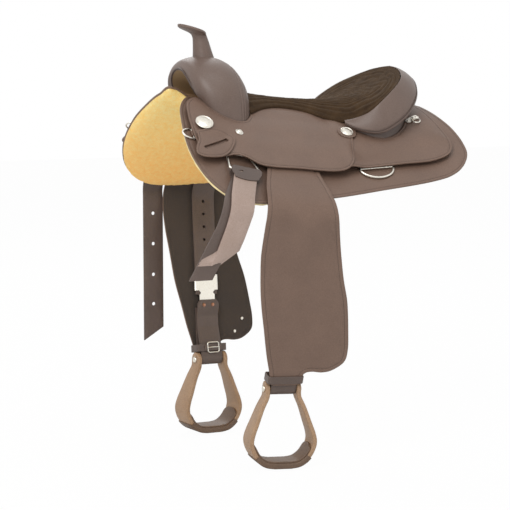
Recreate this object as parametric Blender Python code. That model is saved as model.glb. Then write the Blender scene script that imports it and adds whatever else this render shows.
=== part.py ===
"""A Western saddle with a synthetic cover, built piece by piece.

Metres, +Z up. The horn points to -X and the cantle to +X. The near side, where a rider
mounts, is at -Y and the off side at +Y. The origin is the top of the open channel that
runs along the horse's spine.

Every leather is first drawn flat. Its x runs along the horse and its s is the distance
down from the spine, measured over the horse's back. Each one is then cut on one shared
grid and laid on the back, so that neighbouring layers stay parallel.
"""

import math

import bmesh
import bpy
from mathutils import Matrix, Vector

# The shape of the back under the saddle, along the spine and down the side.
RIDGE_LOW_X = 0.080
RIDGE_LOW_Z = -0.004
RIDGE_FRONT_CURVE = 0.443
RIDGE_REAR_CURVE = 0.300
BACK_FRONT_X = -0.300
BACK_REAR_X = 0.310
TOP_SLOPE_FRONT = math.radians(18)
TOP_SLOPE_REAR = math.radians(14)
SIDE_SLOPE_FRONT = math.radians(44)
SIDE_SLOPE_REAR = math.radians(36)
SLOPE_RUN = 0.185
WALK_STEP = 0.006

# The shared grid. The back is flatter along the horse than down its side.
CELL_X = 0.050
CELL_S = 0.025

# Layers, from the horse outwards.
GAP = 0.0006
FLEECE = 0.0140
SKIRT = 0.0045
BAR = 0.0140
JOCKEY = 0.0035
JOCKEY_REST = 0.0090
LEATHER_ROOM = 0.0025
SEAT_PAD = 0.0100
SEAT_RIM = 0.0045
TAB = 0.0030
FENDER = 0.0034
STRAP = 0.0034

# The channel along the spine, and the tree bars on both sides of it.
CHANNEL = 0.056
BAR_TOP_S = 0.034
BAR_LOW_S = 0.150
BAR_FRONT_X = -0.245
BAR_REAR_X = 0.246

# The slot in each bar that carries a stirrup leather.
SLOT_X = -0.080
SLOT_S = 0.090
SLOT_LENGTH = 0.094
SLOT_HEIGHT = 0.024
SLOT_WEB = 0.0044
WEB_CROWN = 0.0090

# Leathers and fenders hang from the slot, past the skirt's edge and down.
LEATHER_WIDTH = 0.056
LEATHER_LEAN = -0.055
HANG_START = 0.315
HANG_RUN = 0.060
HANG_ANGLE = math.radians(103)
TOE_TURN = math.radians(8)
TURN_START = 0.380
TURN_RUN = 0.150
HANG_END_S = 0.550
FENDER_TOP_S = 0.162

# Stirrups.
BOLT_S = 0.735
BOLT_RADIUS = 0.0040
LOOP_RADIUS = 0.0105
STIRRUP_DROP = 0.1605
STIRRUP_BAND = 0.0090
STIRRUP_NECK = 0.0295
STIRRUP_HALF = 0.0690
TREAD_WIDTH = 0.058
EAR_WIDTH = 0.033
EAR_RISE = 0.0165

# Hardware.
WIRE = 0.0050
RING_WIRE = 0.0030
CONCHO = 0.038
REAR_CONCHO = 0.025
FORK_SCREW = 0.014

# Horn, fork and cantle.
HORN_BASE = 0.0250
HORN_NECK = 0.0190
HORN_CAP = 0.0315
HORN_CAP_THICK = 0.0120
HORN_X = -0.225
HORN_Z = 0.1130
HORN_LEAN = 0.0110
HORN_CAP_Z = 0.1800
HORN_CAP_TILT = math.radians(19)
GULLET_HALF = 0.050
GULLET_FRONT_Z = 0.096
GULLET_REAR_Z = 0.050

NEAR = -1
OFF = 1
SIDES = (("near", NEAR), ("off", OFF))

OUT = bpy.data.collections.new("saddle")
MATERIALS = {}


def lerp(a, b, t):
    return a + (b - a) * t


def smooth(t):
    """Ease from 0 to 1."""
    t = min(1.0, max(0.0, t))
    return t * t * (3 - 2 * t)


# The layers' heights over the back.
bar_low = SKIRT + GAP
bar_high = bar_low + BAR
jockey_low = bar_high + GAP
jockey_high = jockey_low + JOCKEY
web_low = bar_low + (BAR - SLOT_WEB) / 2
web_high = web_low + SLOT_WEB
inner_ply = (bar_low + web_low) / 2
outer_ply = web_high + (web_low - bar_low) / 2


# The back, and the path of a leather that hangs from it.

def ridge_height(x):
    """Height of the spine's line."""
    curve = RIDGE_FRONT_CURVE if x < RIDGE_LOW_X else RIDGE_REAR_CURVE
    return RIDGE_LOW_Z + curve * (x - RIDGE_LOW_X) ** 2


def back_slope(x, s):
    """Slope of the back below the level, at the distance s down its side."""
    t = (x - BACK_FRONT_X) / (BACK_REAR_X - BACK_FRONT_X)
    top = lerp(TOP_SLOPE_FRONT, TOP_SLOPE_REAR, t)
    side = lerp(SIDE_SLOPE_FRONT, SIDE_SLOPE_REAR, t)
    return lerp(top, side, smooth(s / SLOPE_RUN))


def walk(x, s, slope):
    """Walk the distance s down a path of the given slope, from the spine, in even steps."""
    y = 0.0
    z = ridge_height(x)
    done = 0.0
    while done < s:
        step = min(WALK_STEP, s - done)
        angle = slope(x, done + step / 2)
        y += math.cos(angle) * step
        z -= math.sin(angle) * step
        done += step
    return y, z, slope(x, s)


def on_back(side, x, s, lift):
    """A point over the back, on the near or off side."""
    y, z, angle = walk(x, s, back_slope)
    return Vector((x, side * (y + lift * math.sin(angle)), z + lift * math.cos(angle)))


def over_back(x, y, lift):
    """Height of a layer over the back, above a place in plan."""
    low, high = 0.0, 0.45
    for _ in range(26):
        s = (low + high) / 2
        if on_back(OFF, x, s, lift).y < abs(y):
            low = s
        else:
            high = s
    return on_back(OFF, x, low, lift).z


def s_at(x, y, lift):
    """Distance down the side to a place in plan."""
    low, high = 0.0, 0.45
    for _ in range(26):
        s = (low + high) / 2
        if on_back(OFF, x, s, lift).y < abs(y):
            low = s
        else:
            high = s
    return low


def hang_slope(x, s):
    """The back's slope down to the skirt's edge, then the slope of a hanging leather."""
    along = back_slope(x, min(s, HANG_START))
    return lerp(along, HANG_ANGLE, smooth((s - HANG_START) / HANG_RUN))


def leather_x(s):
    """Where the middle of a stirrup leather lies along the horse."""
    return SLOT_X + LEATHER_LEAN * (s - SLOT_S)


def on_leather(side, u, s, lift):
    """A point on a fender or a leather, with u measured from the leather's middle."""
    middle = leather_x(s)
    level = smooth((s - 0.42) / 0.15)
    turn = TOE_TURN * smooth((s - TURN_START) / TURN_RUN)
    y, z, angle = walk(lerp(middle + u, middle, level), s, hang_slope)
    out = lift * math.cos(turn) + u * math.sin(turn)
    x = middle + u * math.cos(turn) - lift * math.sin(turn)
    return Vector((x, side * (y + out * math.sin(angle)), z + out * math.cos(angle)))


def frame_at(place, a, b, lift, lead=0):
    """A frame on a layer: X runs aft, Y runs down the side, Z runs outwards. X or Y leads."""
    step = 0.004
    origin = place(a, b, lift)
    aft = (place(a + step, b, lift) - place(a - step, b, lift)).normalized()
    down = (place(a, b + step, lift) - place(a, b - step, lift)).normalized()
    out = aft.cross(down).normalized()
    if out.dot(place(a, b, lift + step) - origin) < 0:
        out = -out
    if lead == 0:
        down = (down - aft * down.dot(aft)).normalized()
    else:
        aft = (aft - down * aft.dot(down)).normalized()
    matrix = Matrix((aft, down, out)).transposed().to_4x4()
    matrix.translation = origin
    return matrix


# Materials and objects.

def material(name, colour, roughness=0.6, metallic=0.0):
    """One Principled material for each finish."""
    if name not in MATERIALS:
        made = bpy.data.materials.new(name)
        made.use_nodes = True
        shader = made.node_tree.nodes["Principled BSDF"]
        shader.inputs["Base Color"].default_value = (*colour, 1.0)
        shader.inputs["Roughness"].default_value = roughness
        shader.inputs["Metallic"].default_value = metallic
        MATERIALS[name] = made
    return MATERIALS[name]


def brown():
    return material("brown_cover", (0.150, 0.104, 0.083), 0.45)


def dark():
    return material("dark_leather", (0.070, 0.048, 0.040), 0.55)


def suede():
    return material("brown_suede", (0.055, 0.036, 0.022), 0.95)


def golden():
    return material("golden_fleece", (0.850, 0.520, 0.180), 0.95)


def wood():
    return material("pale_wood", (0.480, 0.340, 0.200), 0.70)


def tan():
    return material("tan_stirrup", (0.260, 0.155, 0.090), 0.40)


def silver():
    return material("nickel", (0.700, 0.680, 0.640), 0.25, 1.0)


def add_object(name, mesh, finish, hinge=None):
    """Put one mesh in the saddle, carried by the empty on its joint where it has one."""
    mesh.materials.clear()
    mesh.materials.append(finish)
    made = bpy.data.objects.new(name, mesh)
    OUT.objects.link(made)
    if hinge is not None:
        made.parent = hinge
        made.matrix_parent_inverse = hinge.matrix_world.inverted()
    return made


def face_out(bm):
    """Turn the faces of a closed bmesh outwards."""
    bmesh.ops.recalc_face_normals(bm, faces=bm.faces[:])
    if bm.calc_volume(signed=True) < 0:
        bmesh.ops.reverse_faces(bm, faces=bm.faces[:])


def solid(name, bm, finish, hinge=None):
    """Turn a closed bmesh into one of the saddle's objects."""
    bmesh.ops.remove_doubles(bm, verts=bm.verts[:], dist=0.00001)
    bmesh.ops.triangulate(bm, faces=bm.faces[:], quad_method="SHORT_EDGE")
    face_out(bm)
    mesh = bpy.data.meshes.new(name)
    bm.to_mesh(mesh)
    bm.free()
    mesh.shade_smooth()
    mesh.set_sharp_from_angle(angle=math.radians(35))
    return add_object(name, mesh, finish, hinge)


def hinge_at(name, where):
    """An empty on a joint's axis."""
    made = bpy.data.objects.new(name, None)
    made.empty_display_size = 0.02
    made.location = where
    OUT.objects.link(made)
    made.matrix_world = Matrix.Translation(where)
    return made


def carved(bm, cutters, operation="DIFFERENCE"):
    """Cut a closed bmesh with others, or join them to it."""
    body = bpy.data.objects.new("body", bpy.data.meshes.new("body"))
    face_out(bm)
    bm.to_mesh(body.data)
    bm.free()
    OUT.objects.link(body)
    others = []
    for cutter in cutters:
        face_out(cutter)
        other = bpy.data.objects.new("cutter", bpy.data.meshes.new("cutter"))
        cutter.to_mesh(other.data)
        cutter.free()
        OUT.objects.link(other)
        others.append(other)
        step = body.modifiers.new("cut", "BOOLEAN")
        step.operation = operation
        step.object = other
        step.solver = "EXACT"
    bpy.context.view_layer.update()
    graph = bpy.context.evaluated_depsgraph_get()
    result = bmesh.new()
    result.from_mesh(body.evaluated_get(graph).to_mesh())
    for used in [body, *others]:
        bpy.data.meshes.remove(used.data)
    bmesh.ops.remove_doubles(result, verts=result.verts[:], dist=0.00001)
    return result


# Drawing flat and laying on the back.

def flow(points, steps=3, closed=True):
    """A smooth line through the points, as a Catmull-Rom spline."""
    count = len(points)
    spans = count if closed else count - 1
    line = []
    for i in range(spans):
        if closed:
            p = [points[(i + k) % count] for k in (-1, 0, 1, 2)]
        else:
            p = [points[min(count - 1, max(0, i + k))] for k in (-1, 0, 1, 2)]
        for j in range(steps):
            t = j / steps
            weights = (
                (-t + 2 * t * t - t ** 3) / 2,
                (2 - 5 * t * t + 3 * t ** 3) / 2,
                (t + 4 * t * t - 3 * t ** 3) / 2,
                (t ** 3 - t * t) / 2,
            )
            line.append(tuple(sum(w * q[k] for w, q in zip(weights, p)) for k in range(len(p[0]))))
    if not closed:
        line.append(tuple(points[-1]))
    return line


def rounded(points, radius, steps=3):
    """A polygon with its corners rounded to one radius."""
    line = []
    count = len(points)
    for i in range(count):
        here = Vector(points[i])
        back = (Vector(points[i - 1]) - here)
        on = (Vector(points[(i + 1) % count]) - here)
        cut = min(radius, back.length * 0.45, on.length * 0.45)
        start = here + back.normalized() * cut
        end = here + on.normalized() * cut
        for j in range(steps + 1):
            t = j / steps
            line.append(tuple(start.lerp(here, t).lerp(here.lerp(end, t), t)))
    return line


def sheet(outline, thick, base=0.0):
    """A flat slab from an outline."""
    bm = bmesh.new()
    bm.faces.new([bm.verts.new((p[0], p[1], base)) for p in outline])
    grown = bmesh.ops.extrude_face_region(bm, geom=bm.faces[:])
    for item in grown["geom"]:
        if isinstance(item, bmesh.types.BMVert):
            item.co.z += thick
    bm.normal_update()
    return bm


def grid_cut(bm, cell_x, cell_y):
    """Cut a flat piece on the shared grid."""
    for axis, cell in ((0, cell_x), (1, cell_y)):
        values = [v.co[axis] for v in bm.verts]
        normal = Vector((1, 0, 0)) if axis == 0 else Vector((0, 1, 0))
        first = math.ceil(min(values) / cell + 0.01)
        last = math.floor(max(values) / cell - 0.01)
        for i in range(first, last + 1):
            bmesh.ops.bisect_plane(
                bm,
                geom=bm.verts[:] + bm.edges[:] + bm.faces[:],
                dist=0.0001,
                plane_co=normal * (i * cell),
                plane_no=normal,
            )


def bend(bm, place):
    """Lay a flat piece in its place, point by point."""
    bm.normal_update()
    bmesh.ops.triangulate(bm, faces=[f for f in bm.faces if len(f.verts) > 4])
    for v in bm.verts:
        v.co = place(*v.co)
    return bm


def laid(bm, side, cell_x=CELL_X, cell_s=CELL_S):
    """Lay a flat piece on the back, its z being its height over the back."""
    grid_cut(bm, cell_x, cell_s)
    return bend(bm, lambda x, s, lift: on_back(side, x, s, lift))


def box(x0, x1, y0, y1, z0, z1):
    """A plain block, used flat."""
    bm = bmesh.new()
    bmesh.ops.create_cube(bm, size=1.0)
    for v in bm.verts:
        v.co = Vector((lerp(x0, x1, v.co.x + 0.5), lerp(y0, y1, v.co.y + 0.5), lerp(z0, z1, v.co.z + 0.5)))
    return bm


def pin(radius, depth, segments=10, matrix=None):
    """A plain cylinder along its own Z."""
    bm = bmesh.new()
    bmesh.ops.create_cone(
        bm,
        cap_ends=True,
        segments=segments,
        radius1=radius,
        radius2=radius,
        depth=depth,
    )
    if matrix is not None:
        bm.transform(matrix)
    return bm


def turned(profile, segments, matrix):
    """Turn a profile of radius and height about Z. It starts and ends on the axis."""
    bm = bmesh.new()
    verts = [bm.verts.new((r, 0.0, h)) for r, h in profile]
    edges = [bm.edges.new(pair) for pair in zip(verts, verts[1:])]
    bmesh.ops.spin(
        bm,
        geom=verts + edges,
        cent=(0, 0, 0),
        axis=(0, 0, 1),
        angle=math.tau,
        steps=segments,
        use_merge=True,
    )
    bmesh.ops.remove_doubles(bm, verts=bm.verts[:], dist=0.00002)
    bm.transform(matrix)
    return bm


def lofted(rings):
    """A closed solid through rings of equal count, capped at both ends."""
    bm = bmesh.new()
    rows = [[bm.verts.new(point) for point in ring] for ring in rings]
    count = len(rows[0])
    for near, far in zip(rows, rows[1:]):
        for i in range(count):
            j = (i + 1) % count
            bm.faces.new((near[i], near[j], far[j], far[i]))
    bm.faces.new(rows[0])
    bm.faces.new(rows[-1])
    return bm


def loop_of(rings):
    """A closed solid through rings that come back to the first."""
    bm = bmesh.new()
    rows = [[bm.verts.new(point) for point in ring] for ring in rings]
    count = len(rows[0])
    for near, far in zip(rows, rows[1:] + rows[:1]):
        for i in range(count):
            j = (i + 1) % count
            bm.faces.new((near[i], near[j], far[j], far[i]))
    return bm


def wire_loop(points, radius, sides=6):
    """A closed wire through points that lie in one plane, the points' own XY."""
    middle = sum((Vector(p) for p in points), Vector()) / len(points)
    rings = []
    count = len(points)
    for i in range(count):
        here = Vector(points[i])
        along = (Vector(points[(i + 1) % count]) - Vector(points[i - 1])).normalized()
        up = Vector((0, 0, 1))
        out = along.cross(up).normalized()
        if out.dot(here - middle) < 0:
            out = -out
        ring = []
        for k in range(sides):
            angle = math.tau * (k + 0.5) / sides
            ring.append(here + out * (radius * math.cos(angle)) + up * (radius * math.sin(angle)))
        rings.append(ring)
    return loop_of(rings)


def offset_line(line, half):
    """The outline of a strap whose middle is the line, drawn edge-on."""
    left, right = [], []
    for i, point in enumerate(line):
        here = Vector(point)
        back = Vector(line[max(0, i - 1)])
        on = Vector(line[min(len(line) - 1, i + 1)])
        along = (on - back).normalized()
        normal = Vector((-along.y, along.x))
        left.append(tuple(here + normal * half))
        right.append(tuple(here - normal * half))
    return left + right[::-1]


def arc(centre, radius, start, end, steps):
    """Points on an arc, with angles in degrees."""
    points = []
    for i in range(steps + 1):
        angle = math.radians(lerp(start, end, i / steps))
        points.append((centre[0] + radius * math.cos(angle), centre[1] + radius * math.sin(angle)))
    return points


def strap(line, half, width):
    """A flat strap drawn edge-on as a line of (s, lift) and widened along u."""
    bm = sheet(offset_line(line, half), width, -width / 2)
    for v in bm.verts:
        s, lift, u = v.co
        v.co = Vector((u, s, lift))
    return bm


def cut_down(bm, cell, last):
    """Cut a strap across, as far down as it bends."""
    for i in range(1, int(last / cell) + 1):
        bmesh.ops.bisect_plane(
            bm,
            geom=bm.verts[:] + bm.edges[:] + bm.faces[:],
            dist=0.0001,
            plane_co=(0, i * cell, 0),
            plane_no=(0, 1, 0),
        )
    return bm


# The tree: two bars, the fork with its horn, and the cantle.

def bar_outline():
    """A bar is wide at its pads and drawn in at the waist between them."""
    top, low = BAR_TOP_S, BAR_LOW_S
    return flow((
        (BAR_FRONT_X, top + 0.022),
        (BAR_FRONT_X + 0.030, top),
        (SLOT_X, top + 0.004),
        (RIDGE_LOW_X, top + 0.002),
        (BAR_REAR_X - 0.030, top),
        (BAR_REAR_X, top + 0.022),
        (BAR_REAR_X, low - 0.030),
        (BAR_REAR_X - 0.040, low),
        (RIDGE_LOW_X, low - 0.008),
        (SLOT_X, low),
        (BAR_FRONT_X + 0.040, low),
        (BAR_FRONT_X, low - 0.030),
    ), 2)


def tree_bar(name, side):
    """A bar with the slot for a leather, and a recess on each face for its two plies.

    The web under the slot is crowned, so that the leather can swing a little over it.
    """
    bm = sheet(bar_outline(), BAR, bar_low)
    left, right = SLOT_X - SLOT_LENGTH / 2, SLOT_X + SLOT_LENGTH / 2
    slot_top, slot_low = SLOT_S - SLOT_HEIGHT / 2, SLOT_S + SLOT_HEIGHT / 2
    slot = sheet(((left, slot_top), (right, slot_top), (right, slot_low + WEB_CROWN),
                  (SLOT_X + 0.008, slot_low), (SLOT_X - 0.008, slot_low), (left, slot_low + WEB_CROWN)), 0.1)
    cutters = [
        slot,
        box(left, right, slot_low - 0.001, 0.2, 0.0, web_low),
        box(left, right, slot_low - 0.001, 0.2, web_high, 0.1),
    ]
    return solid(name, laid(carved(bm, cutters), side), wood())


# Fork stations from front to rear: x, half width at the foot, height at the middle.
FORK = (
    (-0.270, 0.078, 0.100),
    (-0.262, 0.096, 0.112),
    (-0.245, 0.114, 0.119),
    (-0.215, 0.130, 0.120),
    (-0.185, 0.132, 0.112),
    (-0.163, 0.124, 0.098),
    (-0.150, 0.110, 0.080),
)


def arch(x, half, top, foot, steps, power=1.0):
    """An arch across the saddle, from one foot over the top to the other."""
    ring = []
    for i in range(steps + 1):
        angle = math.pi * i / steps
        rise = math.sin(angle) ** power
        ring.append(Vector((x, half * math.cos(angle), foot + (top - foot) * rise)))
    return ring


def fork():
    """The fork: a domed block over the gullet, seated on the bars, with the horn's socket."""
    rings = []
    for x, half, top in FORK:
        foot = over_back(x, half, bar_high)
        ring = arch(x, half, top, foot, 14, 0.82)
        rings.append([Vector((x, half, -0.075)), *ring, Vector((x, -half, -0.075))])
    block = lofted(rings)
    gullet = lofted([
        [Vector((x, GULLET_HALF, -0.12)), *arch(x, GULLET_HALF, top, 0.0, 10), Vector((x, -GULLET_HALF, -0.12))]
        for x, top in ((FORK[0][0] - 0.01, GULLET_FRONT_Z), (FORK[-1][0] + 0.01, GULLET_REAR_Z))
    ])
    socket = pin(HORN_BASE + GAP, 0.08, 20, Matrix.Translation((HORN_X, 0, HORN_Z - GAP + 0.04)))
    below = [
        laid(sheet(((-0.35, 0.02), (-0.10, 0.02), (-0.10, 0.26), (-0.35, 0.26)), 0.12 + bar_high + GAP, -0.12), side)
        for side in (NEAR, OFF)
    ]
    return solid("fork", carved(block, [gullet, socket, *below]), brown())


def horn():
    """The horn: a necked stem under a tilted cap with a flat top."""
    rings = []
    for t, radius in ((0.0, HORN_BASE), (0.15, 0.0232), (0.35, 0.0205), (0.62, HORN_NECK), (1.0, HORN_NECK)):
        x = HORN_X - HORN_LEAN * t
        z = lerp(HORN_Z, HORN_CAP_Z, t)
        rings.append([
            Vector((x + radius * math.cos(math.tau * k / 16), radius * math.sin(math.tau * k / 16), z))
            for k in range(16)
        ])
    neck = lofted(rings)
    half = HORN_CAP_THICK / 2
    rim = HORN_CAP
    profile = ((0, -half), (rim - 0.006, -half), (rim - 0.001, -half + 0.003), (rim, 0),
               (rim - 0.001, half - 0.003), (rim - 0.005, half), (0, half))
    tilt = Matrix.Rotation(HORN_CAP_TILT, 4, "Y")
    cap = turned(profile, 24, Matrix.Translation((HORN_X - HORN_LEAN, 0, HORN_CAP_Z)) @ tilt)
    return solid("horn", carved(neck, [cap], "UNION"), brown())


# The seat's edge from the fork to the cantle's top: x, half width, height.
SEAT_EDGE = (
    (-0.146, 0.103, 0.006),
    (-0.102, 0.079, 0.013),
    (-0.060, 0.066, 0.014),
    (-0.016, 0.071, 0.007),
    (0.023, 0.090, -0.004),
    (0.055, 0.106, -0.011),
    (0.085, 0.127, -0.008),
    (0.112, 0.1465, 0.008),
    (0.135, 0.1535, 0.024),
    (0.174, 0.141, 0.051),
    (0.204, 0.112, 0.071),
    (0.226, 0.062, 0.092),
    (0.235, 0.000, 0.100),
)
SEAT_LOW_X = 0.070
SEAT_LOW_Z = 0.029
SEAT_FRONT_CURVE = 0.42

# The cantle roll's lower rim, from its front tip to the middle of its rear.
ROLL_RIM = (
    (0.066, 0.126, -0.020),
    (0.082, 0.141, -0.026),
    (0.106, 0.153, -0.028),
    (0.130, 0.161, -0.026),
    (0.158, 0.165, -0.018),
    (0.200, 0.158, 0.002),
    (0.235, 0.132, 0.031),
    (0.258, 0.092, 0.055),
    (0.272, 0.045, 0.071),
    (0.276, 0.000, 0.076),
)
CREST = (
    (0.068, 0.1170, -0.012),
    (0.080, 0.1268, -0.009),
    (0.0987, 0.1412, -0.001),
    (0.1145, 0.1518, 0.0095),
    (0.1355, 0.1575, 0.0245),
    (0.1752, 0.1427, 0.0515),
    (0.2056, 0.1136, 0.0715),
    (0.2226, 0.0780, 0.0860),
    (0.2340, 0.0380, 0.0965),
    (0.2370, 0.0000, 0.1005),
)


def along_edge(x, index):
    """The seat edge's half width or height at a place along the saddle."""
    line = flow(SEAT_EDGE, 4, closed=False)
    for a, b in zip(line, line[1:]):
        if x <= b[0]:
            t = (x - a[0]) / max(1e-9, b[0] - a[0])
            return lerp(a[index], b[index], max(0.0, t))
    return line[-1][index]


def seat_top(x, y):
    """The seat's upper surface: dished along its middle and rounded over its sides."""
    if x < SEAT_LOW_X:
        middle = SEAT_LOW_Z + SEAT_FRONT_CURVE * (x - SEAT_LOW_X) ** 2
    else:
        reach = (x - SEAT_LOW_X) / (SEAT_EDGE[-1][0] - SEAT_LOW_X)
        middle = SEAT_LOW_Z + (SEAT_EDGE[-1][2] - SEAT_LOW_Z) * min(1.0, reach) ** 2
    half = max(0.004, along_edge(x, 1))
    edge = along_edge(x, 2)
    return lerp(middle, edge, min(1.0, abs(y) / half) ** 2.2)


def seat_outline(inset):
    """The seat's edge in plan, drawn in by an inset."""
    line = flow(SEAT_EDGE, 3, closed=False)
    half = []
    for i, point in enumerate(line):
        here = Vector(point[:2])
        back = Vector(line[max(0, i - 1)][:2])
        on = Vector(line[min(len(line) - 1, i + 1)][:2])
        along = (on - back).normalized()
        moved = here + Vector((along.y, -along.x)) * inset
        moved.y = max(0.0, moved.y)
        moved.x = max(SEAT_EDGE[0][0] + inset * 0.4, moved.x)
        half.append((moved.x, moved.y))
    front = half[0][0] + 0.003
    half = [half[0]] + [point for point in half[1:] if point[0] > front]
    half[-1] = (SEAT_EDGE[-1][0] - inset, 0.0)
    outline = [half[0]]
    for point in half[1:]:
        if (Vector(point) - Vector(outline[-1])).length > 0.006:
            outline.append(point)
    outline[-1] = half[-1]
    mirrored = [(x, -y) for x, y in outline[-2::-1]]
    return outline + mirrored


def seat_block(name, inset, cell, low, high, finish):
    """A solid under the seat's surface, between two heights over a plan."""
    bm = sheet(seat_outline(inset), 1.0)
    grid_cut(bm, cell, cell)

    def place(x, y, k):
        bottom = low(x, y)
        return Vector((x, y, max(high(x, y), bottom + 0.002) if k > 0.5 else bottom))

    return solid(name, bend(bm, place), finish)


def seat_cover_low(x, y):
    """The underside of the seat cover, thin at its rim and padded inside it."""
    half = max(0.004, along_edge(x, 1))
    inside = smooth((half - abs(y)) / 0.030)
    under = seat_top(x, y) - lerp(SEAT_RIM, SEAT_PAD, inside)
    return max(under, over_back(x, y, jockey_high + GAP))


def ground_seat():
    """The ground seat bridges the channel and carries the rider on the two bars."""
    return seat_block(
        "ground_seat",
        0.023,
        0.025,
        lambda x, y: over_back(x, y, jockey_low),
        lambda x, y: seat_cover_low(x, y) - GAP * 2,
        wood(),
    )


def quilt(x, y):
    """How far the stitched channels draw the seat's suede down."""
    wave = math.sin(math.tau * (x * 0.9 + abs(y) * 0.5) / 0.050)
    return 0.0022 * max(0.0, wave) ** 0.6


def seat_cover():
    """The padded suede seat, with its crown, its drawn-in rim and its sewn channels."""
    def top(x, y):
        half = max(0.004, along_edge(x, 1))
        inside = smooth((half - abs(y)) / 0.018)
        return seat_top(x, y) + inside * (quilt(x, y) - 0.0012)
    return seat_block("seat_cover", 0.0, 0.0160, seat_cover_low, top, suede())


def cantle_line(t, q):
    """A place between the cantle's crest (q 0) and the roll's rim (q 1)."""
    side = 1 if t >= 0 else -1
    crest = flow(CREST[::-1], 4, closed=False)
    rim = flow(ROLL_RIM[::-1], 4, closed=False)
    place = abs(t) * (len(crest) - 1)
    i = min(len(crest) - 2, int(place))
    a = Vector(crest[i]).lerp(Vector(crest[i + 1]), place - i)
    b = Vector(rim[i]).lerp(Vector(rim[i + 1]), place - i)
    point = a.lerp(b, q)
    return Vector((point.x, side * point.y, point.z))


def cantle_point(t, q, height):
    """A place on the roll's face, raised from it along its outward normal."""
    across = cantle_line(t, 1) - cantle_line(t, 0)
    along = cantle_line(min(1.0, t + 0.02), 0.5) - cantle_line(max(-1.0, t - 0.02), 0.5)
    up = across.cross(along).normalized()
    if up.z < 0:
        up = -up
    return cantle_line(t, q) + up * height


# How far round the cantle's walls reach, and where their outer face lies under the roll.
CANTLE_REACH = 0.55
CANTLE_BACK_Q = 0.36

# The roll's section, from the crest over its face to its rim and back inside.
ROLL_SECTION = (
    (0.0, 0.0), (0.12, 0.0030), (0.5, 0.0050), (0.85, 0.0030), (1.0, -0.0030),
    (0.96, -0.0080), (0.6, -0.0060), (0.24, -0.0052),
)
ROLL_UNDER = 0.0066


def cantle_roll():
    """The roll: a broad rolled edge that runs round the cantle and out along its wings."""
    rings = []
    count = 32
    for i in range(count + 1):
        t = lerp(-1.0, 1.0, i / count)
        ring = []
        for q, height in ROLL_SECTION:
            point = cantle_point(t, q, height)
            point.z = max(point.z, over_back(point.x, point.y, jockey_high + GAP * 2 + max(0.0, 0.004 + height) * 0.5))
            ring.append(point)
        rings.append(ring)
    return solid("cantle_roll", lofted(rings), brown())


def cantle_wall(name, inner, outer, reach, finish):
    """An upright wall under the roll, following the cantle's curve down to the bars."""
    rings = []
    count = 20
    for i in range(count + 1):
        t = lerp(-reach, reach, i / count)
        tops = [cantle_point(t, q, -ROLL_UNDER) for q in (outer, inner)]
        feet = [Vector((p.x, p.y, over_back(p.x, p.y, bar_high + GAP))) for p in reversed(tops)]
        rings.append(feet + tops)
    return solid(name, lofted(rings), finish)


# Skirts, fleece and jockeys.

SKIRT_OUTLINE = (
    (-0.243, 0.030), (-0.267, 0.050), (-0.290, 0.102), (-0.305, 0.162), (-0.309, 0.215),
    (-0.304, 0.262), (-0.286, 0.312), (-0.257, 0.341), (-0.219, 0.346), (-0.130, 0.329),
    (-0.035, 0.310), (0.089, 0.292), (0.223, 0.285), (0.268, 0.277), (0.300, 0.258),
    (0.322, 0.228), (0.328, 0.190), (0.325, 0.143), (0.316, 0.092), (0.305, 0.020),
)


def skirt_outline(inset, seam=0.0015):
    """A skirt reaches the spine behind the bars and leaves the channel open before them."""
    curve = flow(SKIRT_OUTLINE, 2, closed=False)
    if inset:
        middle = Vector((0.0, 0.17))
        drawn = []
        for i, point in enumerate(curve):
            back = Vector(curve[max(0, i - 1)])
            on = Vector(curve[min(len(curve) - 1, i + 1)])
            along = (on - back).normalized()
            normal = Vector((along.y, -along.x))
            if normal.dot(middle - Vector(point)) < 0:
                normal = -normal
            drawn.append(tuple(Vector(point) + normal * inset))
        curve = drawn
    return curve + [(0.300 - inset, seam), (0.235 + inset, seam), (0.222, CHANNEL / 2 + 0.002)]


BREAST_DEE_X = -0.302
BREAST_DEE_S = 0.188
CHAPE_HALF = 0.00075
CHAPE_RING = RING_WIRE / 2 + GAP + CHAPE_HALF
BREAST_DEE_LIFT = SKIRT - 0.0004 + CHAPE_RING + CHAPE_HALF


def chape():
    """A tongue folded round the breast dee's bar, sewn on the skirt."""
    line = [(0.030, CHAPE_RING)] + arc((0.0, 0.0), CHAPE_RING, 90, 270, 6) + [(0.030, -CHAPE_RING)]
    line = [(0.030, -CHAPE_RING * 0.2)] + [(0.010, CHAPE_RING)] + line[1:-1] + [(0.030, -CHAPE_RING)]
    bm = sheet(offset_line(line, CHAPE_HALF), 0.012, -0.006)
    for v in bm.verts:
        x, lift, s = v.co
        v.co = Vector((BREAST_DEE_X + x, BREAST_DEE_S + s, BREAST_DEE_LIFT + lift))
    return bm


def skirt(name, side):
    """A skirt with the chape of its breast dee."""
    bm = carved(sheet(skirt_outline(0.0), SKIRT), [chape()], "UNION")
    return solid(name, laid(bm, side), brown())


def fleece(name, side):
    return solid(name, laid(sheet(skirt_outline(0.004, 0.0050), FLEECE, -FLEECE - GAP), side), golden())


def jockey_lift(x, s, k):
    """A jockey lies over the bar and over the leather's room, and settles beyond them."""
    over_bar = max(BAR_FRONT_X - x, x - BAR_REAR_X, s - BAR_LOW_S + 0.004, 0.008) - 0.008
    over_leather = max(abs(x - SLOT_X + 0.004) - 0.118, s - 0.30, 0.0)
    rest = SKIRT + JOCKEY_REST
    room = LEATHER_ROOM * smooth((s - BAR_LOW_S) / 0.040)
    return lerp(jockey_low + room, rest, smooth(min(over_bar, over_leather) / 0.045)) + k


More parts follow.
